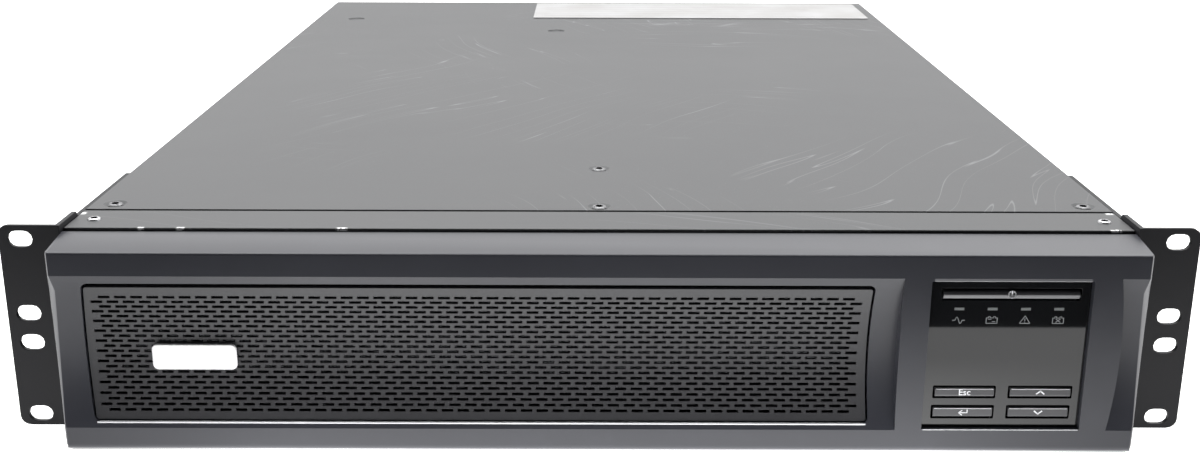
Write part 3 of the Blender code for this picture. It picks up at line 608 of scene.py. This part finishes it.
def new_piece(name, shape, finish, body, replaces=(), width=0.0):
    """Finish a shape as one piece, with its sharp edges rounded where a width is given."""
    piece = raw(name, shape)
    if width:
        soften(piece, width)
    else:
        piece.data.shade_smooth()
        piece.data.set_sharp_from_angle(angle=math.radians(SHARP))
    return finish_piece(piece, finish, body, replaces)


def copy_of(node):
    """The node's own shape as one welded mesh with its flats made whole."""
    shape = bmesh.new()
    shape.from_mesh(frame["nodes"][node].data)
    bmesh.ops.remove_doubles(shape, verts=shape.verts, dist=2e-6)
    bmesh.ops.dissolve_limit(shape, angle_limit=math.radians(0.6), verts=shape.verts,
                             edges=shape.edges, use_dissolve_boundaries=False)
    return raw(f"finished_{node}", shape)


# --------------------------------------------------------------------- bezel
# the ends slope back: how far in from the end each column lies, and how far back, in parts of end_radius
END_PROFILE = ((1.0, 0.0), (0.90, 0.02), (0.80, 0.09), (0.28, 0.66), (0.13, 0.82), (0.03, 0.94), (0.0, 1.0))
END_COLUMNS = len(END_PROFILE) - 1
COLUMN_START, COLUMN_STEP = 0.9, 0.01    # where the columns are cut, before they are placed
END_SPREAD, HOLLOW_SPREAD = 0.39, 0.23    # widening, so that the ends look straight from in front and above
FOOT_TUCK, TUCK_HEIGHT = 0.0013, 0.0050    # the ends draw in a little at the foot
FLAT_FOOT = 0.0039            # the ends slope back above this height only
BACK_EDGE = 0.001             # points this near the back keep the bezel's own width


def bezel_half_width(y):
    """The bezel tapers from its back edge to its front."""
    depth = (BEZEL_REAR - y) / (BEZEL_REAR - FACE_Y)
    return bezel_high.x + (HALF_FRONT - bezel_high.x) * min(max(depth, 0.0), 1.0)


def shape_end(vert):
    """Move one point of the unit-wide moulding to its place across the bezel."""
    x, y, z = vert.co
    column = END_COLUMNS if abs(x) > 0.999 else round((abs(x) - COLUMN_START) / COLUMN_STEP)
    inward, back = END_PROFILE[column]
    radius, half = end_radius(z), bezel_half_width(y)
    if y < BEZEL_REAR - BACK_EDGE:
        half += radius * END_SPREAD + scoop(z) * HOLLOW_SPREAD
        half -= FOOT_TUCK * max(0.0, 1 - (z - SHELL_FOOT) / TUCK_HEIGHT) ** 2
        if z > FLAT_FOOT:
            vert.co.y += radius * back
    vert.co.x = math.copysign(half - radius * inward, x)


def end_radius(z):
    """Size of the sloping edge at the bezel's ends: slight on band and lip, broad under the band."""
    below = (BAND_Z - z) / 0.007
    if z > BAND_Z - 0.0001 or z < LIP_Z:
        return 0.0009
    return 0.0006 + 0.0042 * min(below, 1.0) * (z - LIP_Z) / (BAND_Z - LIP_Z)


def make_bezel():
    """Front moulding: band, hollowed face, lip, pillars, and a tapered, open back."""
    outline = [(BEZEL_REAR, SHELL_FOOT), (FACE_Y + 0.0050, SHELL_FOOT)]
    outline += arc((FACE_Y + 0.0030, 0.0058), 0.0030, 225, 180, 4)
    outline += [(FACE_Y + scoop(z), z) for z in steps(LIP_Z, BAND_Z, 28)]
    outline += arc((FACE_Y + 0.0008, BEZEL_TOP - 0.0008), 0.0008, 180, 90, 3)
    outline += [(BEZEL_REAR, BEZEL_TOP - TOP_FALL)]
    shape = prism(outline, "X", (-1.0, 1.0))
    for number in range(END_COLUMNS):
        for side in (-1, 1):
            bmesh.ops.bisect_plane(shape, geom=shape.verts[:] + shape.edges[:] + shape.faces[:],
                                   plane_co=(side * (COLUMN_START + number * COLUMN_STEP), 0, 0),
                                   plane_no=(1, 0, 0))
    for vert in shape.verts:
        shape_end(vert)
    piece = raw("bezel_moulding", shape)

    middle_z, half_z = (LIP_Z + BAND_Z) / 2, (BAND_Z - LIP_Z) / 2
    for side, bow in ((-1, 0.0004), (1, 0.0024)):
        inner = WINDOW_X[0] if side < 0 else WINDOW_X[1]
        edge = [(inner + side * (PILLAR_WIDTH + bow * (1 - ((z - middle_z) / half_z) ** 2)), z)
                for z in steps(LIP_Z - 0.0006, BAND_Z + 0.0006, 12)]
        pillar = [(inner - side * 0.001, edge[0][1]), *edge, (inner - side * 0.001, edge[-1][1])]
        combine(piece, prism(pillar, "Y", (FACE_Y, FACE_Y + SCOOP + 0.0015)), "UNION")
    hollow = block((-0.2085, 0.2085), (EAR_Y - 0.0195, EAR_Y + 0.02), (0.0040, 0.0830))
    combine(piece, hollow, "DIFFERENCE")
    through = (FACE_Y - 0.01, EAR_Y)
    pocket = prism(pocket_outline(0.0), "Y", through)
    window = prism(rounded(WINDOW_X, WINDOW_Z, 0.0003, 2), "Y", through)
    combine(piece, gather([pocket, window]), "DIFFERENCE")
    soften(piece, 0.00035, 2, 17)
    finish_piece(piece, FINISHES["bezel_plastic"], "bezel", ["bezel_frame"])


SLOT_ROWS, SLOT_PITCH, SLOT_FIRST = 23, 0.00214, 0.0195    # rows, upwards from the first
SLOT_COLUMNS, COLUMN_PITCH, SLOT_START = 48, 0.00629, -0.1974    # columns, rightwards
SLOT_LONG, SLOT_TALL = 0.0045, 0.00098
SLOT_BOW = 0.0010             # the rows' ends curve to the left at mid height
EDGE_GAP, HEAD_GAP = 0.0007, 0.0012    # dark line round the insert, and more at its head
BORDER = 0.0012               # step between the plain rows at the head and foot
SCREEN_BACK, SCREEN_WALL = 0.0006, 0.0016    # the insert lies this far behind the face, and is this thick


def make_grille():
    """Hollowed insert pierced by staggered rows of fine slots, made from one grid."""
    left, right = POCKET_X[0] + EDGE_GAP, POCKET_X[1] - EDGE_GAP
    foot, head = POCKET_Z[0] + EDGE_GAP, POCKET_Z[1] - EDGE_GAP - HEAD_GAP
    xs = [left]
    for half in range(2 * SLOT_COLUMNS - 1):
        middle = SLOT_START + SLOT_LONG / 2 + half * COLUMN_PITCH / 2
        xs += [middle - SLOT_LONG / 2, middle + SLOT_LONG / 2]
    xs = sorted(xs) + [right]
    zs = [foot, foot + BORDER, foot + 2 * BORDER]
    for row in range(SLOT_ROWS):
        middle = SLOT_FIRST + row * SLOT_PITCH
        zs += [middle - SLOT_TALL / 2, middle + SLOT_TALL / 2]
    zs += [head - 2 * BORDER, head - BORDER, head]
    shape = bmesh.new()
    bmesh.ops.create_grid(shape, x_segments=len(xs) - 1, y_segments=len(zs) - 1, size=0.5)
    for vert in shape.verts:
        column = round((vert.co.x + 0.5) * (len(xs) - 1))
        row = round((vert.co.y + 0.5) * (len(zs) - 1))
        vert.co = (xs[column], 0.0, zs[row])
    pierced = []
    for face in shape.faces:
        x, _, z = face.calc_center_median()
        row = round((z - SLOT_FIRST) / SLOT_PITCH)
        if not 0 <= row < SLOT_ROWS or abs(z - SLOT_FIRST - row * SLOT_PITCH) > SLOT_TALL / 2:
            continue
        short = 1 - row % 2
        along = x - SLOT_START - SLOT_LONG / 2 - short * COLUMN_PITCH / 2
        column = round(along / COLUMN_PITCH)
        if 0 <= column < SLOT_COLUMNS - short and abs(along - column * COLUMN_PITCH) < SLOT_LONG / 2:
            pierced.append(face)
    bmesh.ops.delete(shape, geom=pierced, context="FACES")
    corners = sorted(shape.verts, key=lambda v: -abs(v.co.x - (xs[0] + xs[-1]) / 2)
                     - abs(v.co.z - (zs[0] + zs[-1]) / 2) * 10)[:4]
    bmesh.ops.bevel(shape, geom=corners, offset=0.0011, segments=3, profile=0.5,
                    affect="VERTICES", clamp_overlap=True, material=-1)
    for vert in shape.verts:
        end_bow = POCKET_BOW[0] if vert.co.x < left + 0.001 else POCKET_BOW[1]
        inner = left + 0.001 < vert.co.x < right - 0.001
        vert.co.x -= middling(vert.co.z) * (SLOT_BOW if inner else end_bow)
        vert.co.y = FACE_Y + SCREEN_BACK + scoop(vert.co.z)
    for face in shape.faces:
        face.normal_update()
    if sum(face.normal.y for face in shape.faces) > 0:
        bmesh.ops.reverse_faces(shape, faces=shape.faces)
    piece = raw("grille_screen", shape)
    piece.data.shade_smooth()
    wall = piece.modifiers.new("wall", "SOLIDIFY")
    wall.thickness = SCREEN_WALL
    wall.offset = -1.0
    settle(piece)
    soften(piece, 0.00016, 1, 40)
    finish_piece(piece, GRILLE_FINISH, "bezel", ["grille_insert"])


def make_edge_beads():
    """Thin pale strips of painted highlight along the grille's foot and the window's sill and head."""
    y = FACE_Y + scoop(POCKET_Z[0]) + 0.0003
    bead = block((POCKET_X[0] + 0.0010, POCKET_X[1] - 0.0010), (y - 0.0006, y + 0.0006),
                 (POCKET_Z[0] - 0.0006, POCKET_Z[0] + 0.0001), 0.00018, 2)
    sill = block((WINDOW_X[0] + 0.0004, WINDOW_X[1] - 0.0004), (FACE_Y - 0.0001, FACE_Y + 0.0006),
                 (WINDOW_Z[0] - 0.0002, WINDOW_Z[0] + 0.0001), 0.0001, 2)
    y = FACE_Y + scoop(WINDOW_Z[1])
    brow = block((WINDOW_X[0] + 0.0002, WINDOW_X[1] - 0.0002), (y - 0.0001, y + 0.0006),
                 (WINDOW_Z[1] - 0.00015, WINDOW_Z[1] + 0.00025), 0.0001, 2)
    new_piece("edge_beads", gather([bead, sill]), EDGE_HIGHLIGHT, "bezel")
    new_piece("window_brow", brow, BROW_HIGHLIGHT, "bezel")


def make_pocket_shade():
    """Near-black ring of painted shade round the pocket, seen only as the dark line round the grille."""
    y = FACE_Y + 0.0090
    ring = raw("grille_pocket_shade", prism(pocket_outline(-0.0001), "Y", (y, y + 0.0010)))
    inner = prism(pocket_outline(0.0022, HEAD_GAP), "Y", (y - 0.01, y + 0.01))
    combine(ring, inner, "DIFFERENCE")
    finish_piece(ring, SHADE_FILL, "bezel")


def make_badge():
    """Plain blank badge: a white oblong with rounded corners, raised on the grille."""
    low, high = lows_highs("badge")
    plate = prism(rounded((low.x, high.x), (low.z, high.z), 0.0022, 6), "Y", (low.y, high.y))
    new_piece("blank_badge", plate, FINISHES["badge_plastic"], "bezel", ["badge"], 0.0003)


# ------------------------------------------------------------ display module
INK_HEIGHT = 0.00003
THIN, BOLD, BOLDER = 0.00036, 0.00052, 0.00055    # widths of the printed strokes
WORD_SIZE = 0.0037


def line(points, width, y):
    """Printed line made of one thin solid bar for each stretch, each a little longer than it."""
    bars = []
    for (x0, z0), (x1, z1) in zip(points, points[1:]):
        run = Vector((x1 - x0, 0.0, z1 - z0))
        bar = block((0, run.length + width * 0.5), (-INK_HEIGHT, 0.0), (-width / 2, width / 2))
        bmesh.ops.translate(bar, verts=bar.verts, vec=(-width * 0.25, 0, 0))
        turn = -math.atan2(run.z, run.x)
        bmesh.ops.rotate(bar, verts=bar.verts, matrix=Matrix.Rotation(turn, 3, "Y"))
        bmesh.ops.translate(bar, verts=bar.verts, vec=(x0, y, z0))
        bars.append(bar)
    return gather(bars)


def moved(points, x, z, scale=1.0):
    """The same points, scaled and carried to a place."""
    return [(x + a * scale, z + b * scale) for a, b in points]


def make_pane():
    """Polished cover over the module's face, with openings for the keys."""
    y = (pane_low.y + PROUD.y, pane_high.y)
    edge = 0.0002
    outline = rounded((WINDOW_X[0] + edge, WINDOW_X[1] - edge), (WINDOW_Z[0] + edge, WINDOW_Z[1] - edge),
                      0.0004, 3)
    pane = raw("display_pane", prism(outline, "Y", y))
    holes = []
    for name in BUTTONS:
        low, high = key_face(name)
        holes.append(prism(rounded((low.x - HOLE_MARGIN, high.x + HOLE_MARGIN),
                                   (low.z - HOLE_MARGIN, high.z + HOLE_MARGIN),
                                   0.0005, 3), "Y", (y[0] - 0.002, y[1] + 0.002)))
    combine(pane, gather(holes), "DIFFERENCE")
    soften(pane, 0.00012, 2)
    finish_piece(pane, FINISHES["display_pane"], "display_module", ["display_glass"])


def make_key(name):
    """Key cap, a little convex, with a broad slope along its lower edge on the power bar."""
    low, high = key_face(name)
    low, high = low + Vector((KEY_GAP, 0, KEY_GAP)), high - Vector((KEY_GAP, 0, KEY_GAP))
    foot = 0.0011 if name == "power_button" else 0.0003
    brow = 0.0007 if name == "power_button" else 0.0005
    outline = [(high.y, low.z), (low.y + 0.0008, low.z), (low.y + 0.0002, low.z + foot),
               (low.y, low.z + foot + 0.0006), (low.y + 0.0001, high.z - brow),
               (low.y + 0.0001 + brow * 1.3, high.z - 0.0001), (high.y, high.z)]
    cap = raw(f"{name}_cap", prism(outline, "X", (low.x, high.x)))
    soften(cap, 0.00015, 2, 12)
    finish = bar_plastic() if name == "power_button" else FINISHES["button_plastic"]
    finish_piece(cap, finish, name, [name])
    return low, high, low.y - 0.00001


def make_keys():
    """The five keys, a strip of painted highlight along the upper edge of each small one, and the legends on
    their caps.
    """
    faces = {name: make_key(name) for name in BUTTONS}
    for name in BUTTONS[1:]:
        low, high, y = faces[name]
        # pale strip along each small key's upper edge: painted highlight
        crest = block((low.x + 0.0004, high.x - 0.0004), (y - 0.00004, y + 0.0005),
                      (high.z - 0.0007, high.z - 0.0004), 0.00008, 2)
        new_piece(f"{name}_crest", crest, CREST_HIGHLIGHT, name)

    def middle(name):
        low, high, y = faces[name]
        return (low.x + high.x) / 2, (low.z + high.z) / 2, y

    x, z, y = middle("power_button")
    ring = arc((x, z + 0.0002), 0.00130, 120, 420, 18)
    mark = gather([line(ring, BOLD, y), line([(x, z + 0.0004), (x, z + 0.0016)], BOLD, y)])
    new_piece("power_mark", mark, INK, "power_button")
    for name, flip in (("up_button", 1), ("down_button", -1)):
        x, z, y = middle(name)
        points = moved([(-0.0015, -0.0006 * flip), (0.0, 0.0007 * flip), (0.0015, -0.0006 * flip)], x, z)
        new_piece(f"{name}_mark", line(points, BOLDER, y), INK, name)
    x, z, y = middle("enter_button")
    hook = moved([(0.0018, 0.0011), (0.0018, -0.0002), (-0.0014, -0.0002)], x, z)
    head = moved([(-0.0002, 0.0008), (-0.0016, -0.0002), (-0.0002, -0.0012)], x, z)
    new_piece("enter_mark", gather([line(hook, THIN, y), line(head, THIN, y)]), INK, "enter_button")
    x, z, y = middle("esc_button")
    words = bpy.data.curves.new("esc_word", "FONT")
    words.body = "Esc"
    words.size = WORD_SIZE
    words.align_x, words.align_y = "CENTER", "CENTER"
    words.extrude = 0.00002
    words.offset = 0.00004
    lettering = bpy.data.objects.new("esc_word", words)
    bpy.context.collection.objects.link(lettering)
    bpy.context.view_layer.update()
    graph = bpy.context.evaluated_depsgraph_get()
    mesh = bpy.data.meshes.new_from_object(lettering.evaluated_get(graph), depsgraph=graph)
    bpy.data.objects.remove(lettering)
    mesh.transform(Matrix.Translation((x, y, z)) @ Matrix.Rotation(math.pi / 2, 4, "X"))
    mark = bpy.data.objects.new("esc_mark", mesh)
    bpy.context.collection.objects.link(mark)
    finish_piece(mark, INK, "esc_button")


def make_lamps():
    """Four lamp windows in the pane, and a small sign under each."""
    y = pane_low.y + PROUD.y
    lamps = [block((x - 0.0019, x + 0.0019), (y - 0.00006, y + 0.0002), (LAMP_Z - 0.00055, LAMP_Z + 0.00055))
             for x in LAMP_X]
    new_piece("lamp_windows", gather(lamps), LAMP_LENS, "display_module")
    wide, size = 0.00026, 1.12
    wave = [(a * 0.00125, -math.sin(a * math.pi) * 0.0012) for a in steps(-1.0, 1.0, 12)]
    ends = [[(-0.0021, 0.0), (-0.00125, 0.0)], [(0.00125, 0.0), (0.0021, 0.0)]]
    case = [(-0.0019, -0.0011), (-0.0019, 0.0009), (-0.0012, 0.0009), (-0.0012, 0.0014),
            (-0.0006, 0.0014), (-0.0006, 0.0009), (0.0006, 0.0009), (0.0006, 0.0014),
            (0.0012, 0.0014), (0.0012, 0.0009), (0.0019, 0.0009), (0.0019, -0.0011), (-0.0019, -0.0011)]
    bolt = [[(-0.0012, 0.0004), (-0.0002, 0.0004)], [(0.0002, -0.0005), (0.0012, -0.0005)]]
    cross = [[(-0.0008, -0.0007), (0.0008, 0.0006)], [(-0.0008, 0.0006), (0.0008, -0.0007)]]
    warning = [(-0.0018, -0.0011), (0.0, 0.0017), (0.0018, -0.0011), (-0.0018, -0.0011)]
    stroke = [[(0.0, -0.0002), (0.0, 0.0007)], [(0.0, -0.0007), (0.0, -0.00055)]]
    signs = ((wave, *ends), (case, *bolt), (warning, *stroke), (case, *cross))
    for number, (x, strokes) in enumerate(zip(LAMP_X, signs), start=1):
        drawn = gather([line(moved(points, x, ICON_Z, size), wide, y) for points in strokes])
        new_piece(f"lamp_sign_{number}", drawn, ICON_INK, "display_module")


# ------------------------------------------------------------ chassis details
def driven_screw(at, radius, axis="Z", height=0.0007):
    """Screw head with a domed rim round a deep hole for the driver."""
    profile = [(0.0, -0.0004), (radius * 0.44, -0.0004), (radius * 0.46, height * 0.8),
               (radius * 0.66, height), (radius * 0.9, height * 0.62), (radius, 0.0), (radius, -0.0006),
               (0.0, -0.0006)]
    return turned(profile, at, axis, 28)


SOCKET_FOOT, SOCKET_TOP = -0.0002, 0.00075


def driver_hole(at, radius):
    """Six-sided block of painted shade that fills the hole of an upright screw head."""
    reach = radius * 0.5
    profile = [(0.0, SOCKET_FOOT), (reach, SOCKET_FOOT), (reach, SOCKET_TOP), (0.0, SOCKET_TOP)]
    return turned(profile, at, "Z", 6)


def upright_screws(names, z, head_radius, hole_radius, finish):
    """Make the heads of the named screws at height z, and return the painted shade that fills their sockets.
    """
    holes = []
    for name in names:
        low, high = lows_highs(name)
        at = ((low.x + high.x) / 2, (low.y + high.y) / 2, z)
        new_piece(f"{name}_head", driven_screw(at, head_radius), finish, "chassis", [name])
        holes.append(driver_hole(at, hole_radius))
    return gather(holes)


COVER_SCREWS = tuple(f"cover_screw_{number}" for number in range(1, 5))
STRIP_SCREWS = ("strip_screw_1", "strip_screw_2")
PRESSED_ROUNDS = ((-0.186, EAR_Y + 0.546), (-0.031, EAR_Y + 0.492))
SEAT_PROFILE = ((0.0, -0.0008), (0.0036, -0.0008), (0.0058, 0.0004), (0.0, 0.0004))
ROUND_PROFILE = ((0.0, -0.0009), (0.0056, -0.0009), (0.0066, 0.0004), (0.0, 0.0004))
SEAM_EXTRA = 0.0016           # the cover's front edge is set back by this much more
FLANGE_FACE = 0.2183          # outer side of the ears' flanges
EAR_SCREW_Y, EAR_SCREW_Z = (0.022, 0.072), (0.014, 0.043, 0.072)    # depth behind the ear's face, height
FAN_SCREW_INSET, CARD_SCREW_INSET = 0.0043, 0.0045


def make_cover():
    """Top cover with dished screw seats and two shallow pressed rounds."""
    piece = copy_of("top_cover")
    seats = []
    for name in COVER_SCREWS:
        low, high = lows_highs(name)
        middle = (low + high) / 2
        seats.append(turned(SEAT_PROFILE, (middle.x, middle.y, TOP)))
    seats += [turned(ROUND_PROFILE, (x, y, TOP)) for x, y in PRESSED_ROUNDS]
    seam = block((-0.3, 0.3), (cover_low.y - 0.01, cover_low.y + SEAM_EXTRA), (0.0, TOP + 0.01))
    combine(piece, gather([*seats, seam]), "DIFFERENCE")
    soften(piece, 0.0004, 2, 20)
    finish_piece(piece, FINISHES["chassis_paint"], "chassis", ["top_cover"])
    holes = upright_screws(COVER_SCREWS, TOP - 0.0004, 0.0031, 0.0031, WORN_HEAD)
    new_piece("cover_screw_socket_shade", holes, SHADE_FILL, "chassis")


def make_strip():
    """Front strip with bare-rimmed screws and chipped paint along its front edge."""
    piece = copy_of("front_crossmember")
    soften(piece, 0.0004, 2, 40)
    finish_piece(piece, strip_paint(), "chassis", ["front_crossmember"])
    holes = upright_screws(STRIP_SCREWS, TOP + 0.0001, 0.0027, 0.0029, FINISHES["screw_steel"])
    new_piece("strip_screw_socket_shade", holes, SHADE_FILL, "chassis")


FOLD_CHIPS = ((-0.185, 0.0012), (-0.169, 0.0016), (-0.104, 0.0022), (0.2085, 0.0022))    # place, half width


def strip_paint():
    """Powder coat worn through to bright metal in spots along the front fold."""
    finish = Finish("strip_paint", CHASSIS_COLOUR, 0.5)
    x, y, z = finish.axes()
    low, high = lows_highs("front_crossmember")
    front, rear = low.y, high.y
    grain, cloud, tone = paint_layers(finish, CHASSIS_COLOUR)
    worn = 0.0
    for place, half in FOLD_CHIPS:
        worn = x.near(place, half, 0.0008) + worn
    ragged = finish.noise(900.0, 3.0, 0.6).above(0.42, 0.05)
    corner = (x.near(-0.2150, 0.0012, 0.0010) * y.near(rear - 0.0045, 0.0014, 0.0010)
              + x.near(0.2135, 0.0014, 0.0010) * y.near(rear - 0.0015, 0.0010, 0.0010))
    chips = y.below(front + 0.0011, 0.0006) * worn + corner
    chips = chips * z.above(TOP - 0.0016, 0.0006) * ragged
    marks = scratches(finish, 0.52, 0.2, 2.2)
    tone = finish.mixed(marks * 0.5, tone, shade(CHASSIS_COLOUR, 3.0))
    finish.put("Base Color", finish.mixed(chips, tone, (0.72, 0.72, 0.72)))
    finish.put("Metallic", chips * 0.5)
    finish.put("Roughness", 0.42 + cloud * 0.12 + grain * 0.06)
    finish.bump(grain - chips * 2.0, 0.00004, 0.55)
    return finish.material


def make_ear_screws():
    """Flat-headed screws that hold each ear's flange to the chassis side."""
    for side, word, axis in ((-1, "left", "-X"), (1, "right", "X")):
        heads = [driven_screw((side * FLANGE_FACE, EAR_Y + y, z), 0.0034, axis, 0.0006)
                 for y in EAR_SCREW_Y for z in EAR_SCREW_Z]
        new_piece(f"{word}_ear_screws", gather(heads), FINISHES["screw_steel"], "chassis")


def make_rear_screws():
    """Screws at the corners of both fans and at the ends of the card cover."""
    places = []
    for number in (1, 2):
        low, high = lows_highs(f"fan_frame_{number}")
        for x in (low.x + FAN_SCREW_INSET, high.x - FAN_SCREW_INSET):
            for z in (low.z + FAN_SCREW_INSET, high.z - FAN_SCREW_INSET):
                places.append((x, REAR_FACE, z))
    low, high = lows_highs("card_slot_cover")
    for x in (low.x + CARD_SCREW_INSET, high.x - CARD_SCREW_INSET):
        places.append((x, high.y, (low.z + high.z) / 2))
    heads = [driven_screw(at, 0.0027, "Y", 0.0009) for at in places]
    new_piece("rear_screws", gather(heads), FINISHES["screw_steel"], "chassis")


def make_label():
    """Blank label film with rounded corners near the back of the cover."""
    low, high = lows_highs("cover_label")
    film = prism(rounded((low.x, high.x), (low.y, high.y), 0.002, 4), "Z", (TOP + 0.00005, high.z))
    new_piece("blank_label", film, FINISHES["label_white"], "chassis", ["cover_label"])


REMADE = {"bezel_frame", "grille_insert", "badge", "display_glass", "top_cover", "front_crossmember",
          "cover_label", *BUTTONS, *COVER_SCREWS, *STRIP_SCREWS}
WIDTHS = {"base_tray": 0.0004, "left_rack_ear": 0.0004, "right_rack_ear": 0.0004, "battery_door": 0.0003,
          "card_slot_cover": 0.0003, "display_housing": 0.00025, "fan_rotor_1": 0.0003,
          "fan_rotor_2": 0.0003, "rear_panel": 0.0002, "light_guide": 0.0001, "pull_strap": 0.0003}
DEFAULT_WIDTH = 0.00035


def finish_the_rest():
    """Every other node: its own shape with softened edges and its real finish."""
    for node in sorted(set(frame["nodes"]) - REMADE):
        piece = copy_of(node)
        soften(piece, WIDTHS.get(node, DEFAULT_WIDTH), 2, 40)
        slot = SLOT_OF[node]
        finish_piece(piece, FINISHES[slot], BODY_OF[node], [node])


# --------------------------------------------------------------- surroundings
TABLE_REACH = 0.146           # white table in front of the display, before its edge
WHITE = (0.86, 0.86, 0.86)
# strength of the floor's glow, painted light that brightens the unit's lower face
TABLE_GLOW = 3.7
DARK_ROOM, BRIGHT_SKY, SIDE_PANEL = 0.03, 1.7, 1.0    # strengths of the surroundings
OVERHEAD_POWER, SIDE_POWER = 62.0, 4.5
CAMERA_PLACE = (-0.0013, EAR_Y - 0.5405, 0.2556)
CAMERA_PITCH, CAMERA_ROLL = math.radians(17.176), math.radians(0.169)
CAMERA_LENS, CAMERA_SHIFT = 42.449, 0.0032


def make_floor():
    """Pale table top that glows most just in front of the unit, a painted pool of light mirrored in its
    lower face; the part far in front isn't mirrored in the unit's dark face.
    """
    finish = Finish("pale_floor", WHITE, 0.6)
    finish.put("Base Color", finish.mixed(finish.noise(3.0, 2.0), WHITE, shade(WHITE, 1.03)))
    x, y = finish.axes()[:2]
    # the floor glows fully near the unit's front and faintly elsewhere: a painted pool of light
    painted_light_pool = x.near(0.0, 0.19, 0.12) * y.above(FACE_Y - 0.055, 0.09) * y.below(FACE_Y + 0.03, 0.04)
    glow = finish.mixed(painted_light_pool, (0.15, 0.15, 0.15), (1.0, 1.0, 1.0))
    finish.put("Emission Color", glow)
    finish.shader.inputs["Emission Strength"].default_value = TABLE_GLOW
    edge = pane_low.y - TABLE_REACH
    near = raw("table_near", block((-4.0, 4.0), (edge, 5.0), (-0.02, -0.0002)))
    far = raw("table_front", block((-4.0, 4.0), (-5.0, edge), (-0.02, -0.0002)))
    for piece in (near, far):
        piece.data.materials.append(finish.material)
    far.visible_glossy = False
    far.visible_diffuse = False


def area_light(name, place, towards, size, power):
    """A rectangular soft box at a place, facing a point."""
    lamp = bpy.data.lights.new(name, "AREA")
    lamp.shape = "RECTANGLE"
    lamp.size, lamp.size_y = size
    lamp.energy = power
    holder = bpy.data.objects.new(name, lamp)
    holder.location = place
    aim = Vector(towards) - Vector(place)
    holder.rotation_euler = aim.to_track_quat("-Z", "Y").to_euler()
    bpy.context.collection.objects.link(holder)
    return holder


def make_world():
    """Bright backdrop behind, white panels at both sides and a dark room in front."""
    world = bpy.data.worlds.new("studio")
    bpy.context.scene.world = world
    world.use_nodes = True
    tree = world.node_tree
    tree.nodes.clear()

    def add(kind, settings, *operands, **named):
        """Add any node, as Finish.node does, but return the node with all its outputs."""
        made = tree.nodes.new(kind)
        for key, value in settings.items():
            setattr(made, key, value)
        for name, value in [*enumerate(operands), *named.items()]:
            socket = made.inputs[name.replace("_", " ") if isinstance(name, str) else name]
            if isinstance(value, bpy.types.NodeSocket):
                tree.links.new(value, socket)
            else:
                socket.default_value = value
        return made

    place = add("ShaderNodeTexCoord", {})
    split = add("ShaderNodeSeparateXYZ", {}, place.outputs["Generated"])
    rise = add("ShaderNodeMapRange", {}, Value=split.outputs["Y"], From_Min=-0.35, From_Max=0.75,
               To_Min=DARK_ROOM, To_Max=BRIGHT_SKY)
    sideways = add("ShaderNodeMath", {"operation": "ABSOLUTE"}, split.outputs["X"])
    panels = add("ShaderNodeMapRange", {}, Value=sideways.outputs[0], From_Min=0.70, From_Max=0.95,
                 To_Max=SIDE_PANEL)
    total = add("ShaderNodeMath", {"operation": "ADD"}, panels.outputs[0], rise.outputs[0])
    white = (1.0, 1.0, 1.0, 1.0)
    lit = add("ShaderNodeBackground", {}, Color=white, Strength=total.outputs[0])
    seen = add("ShaderNodeBackground", {}, Color=white, Strength=1.0)
    path = add("ShaderNodeLightPath", {})
    choose = add("ShaderNodeMixShader", {}, path.outputs["Is Camera Ray"], lit.outputs[0], seen.outputs[0])
    add("ShaderNodeOutputWorld", {}, Surface=choose.outputs[0])


def make_lights():
    """A soft box overhead and a low one at each side, which lights the sloping ends."""
    area_light("overhead_box", (0.0, 0.25, 1.7), (0.0, 0.0, 0.0), (2.2, 1.6), OVERHEAD_POWER)
    for side, word in ((-1, "left"), (1, "right")):
        area_light(f"{word}_box", (side * 1.35, -0.36, 0.2), (0.0, -0.33, 0.05), (0.7, 0.5), SIDE_POWER)


def make_camera():
    """Camera a little above the unit, half a metre in front, looking down at it."""
    data = bpy.data.cameras.new("camera")
    data.sensor_width = 36.0
    data.lens = CAMERA_LENS
    data.shift_x = CAMERA_SHIFT
    holder = bpy.data.objects.new("camera", data)
    bpy.context.collection.objects.link(holder)
    turn = Matrix.Rotation(math.pi / 2 - CAMERA_PITCH, 4, "X") @ Matrix.Rotation(CAMERA_ROLL, 4, "Z")
    holder.matrix_world = Matrix.Translation(CAMERA_PLACE) @ turn
    bpy.context.scene.camera = holder


MAKERS = (make_camera, make_bezel, make_grille, make_edge_beads, make_pocket_shade, make_badge, make_pane,
          make_keys, make_lamps, make_cover, make_strip, make_ear_screws, make_rear_screws, make_label,
          finish_the_rest, make_floor, make_world, make_lights)

for make in MAKERS:
    make()
bpy.context.scene.view_settings.view_transform = "Standard"
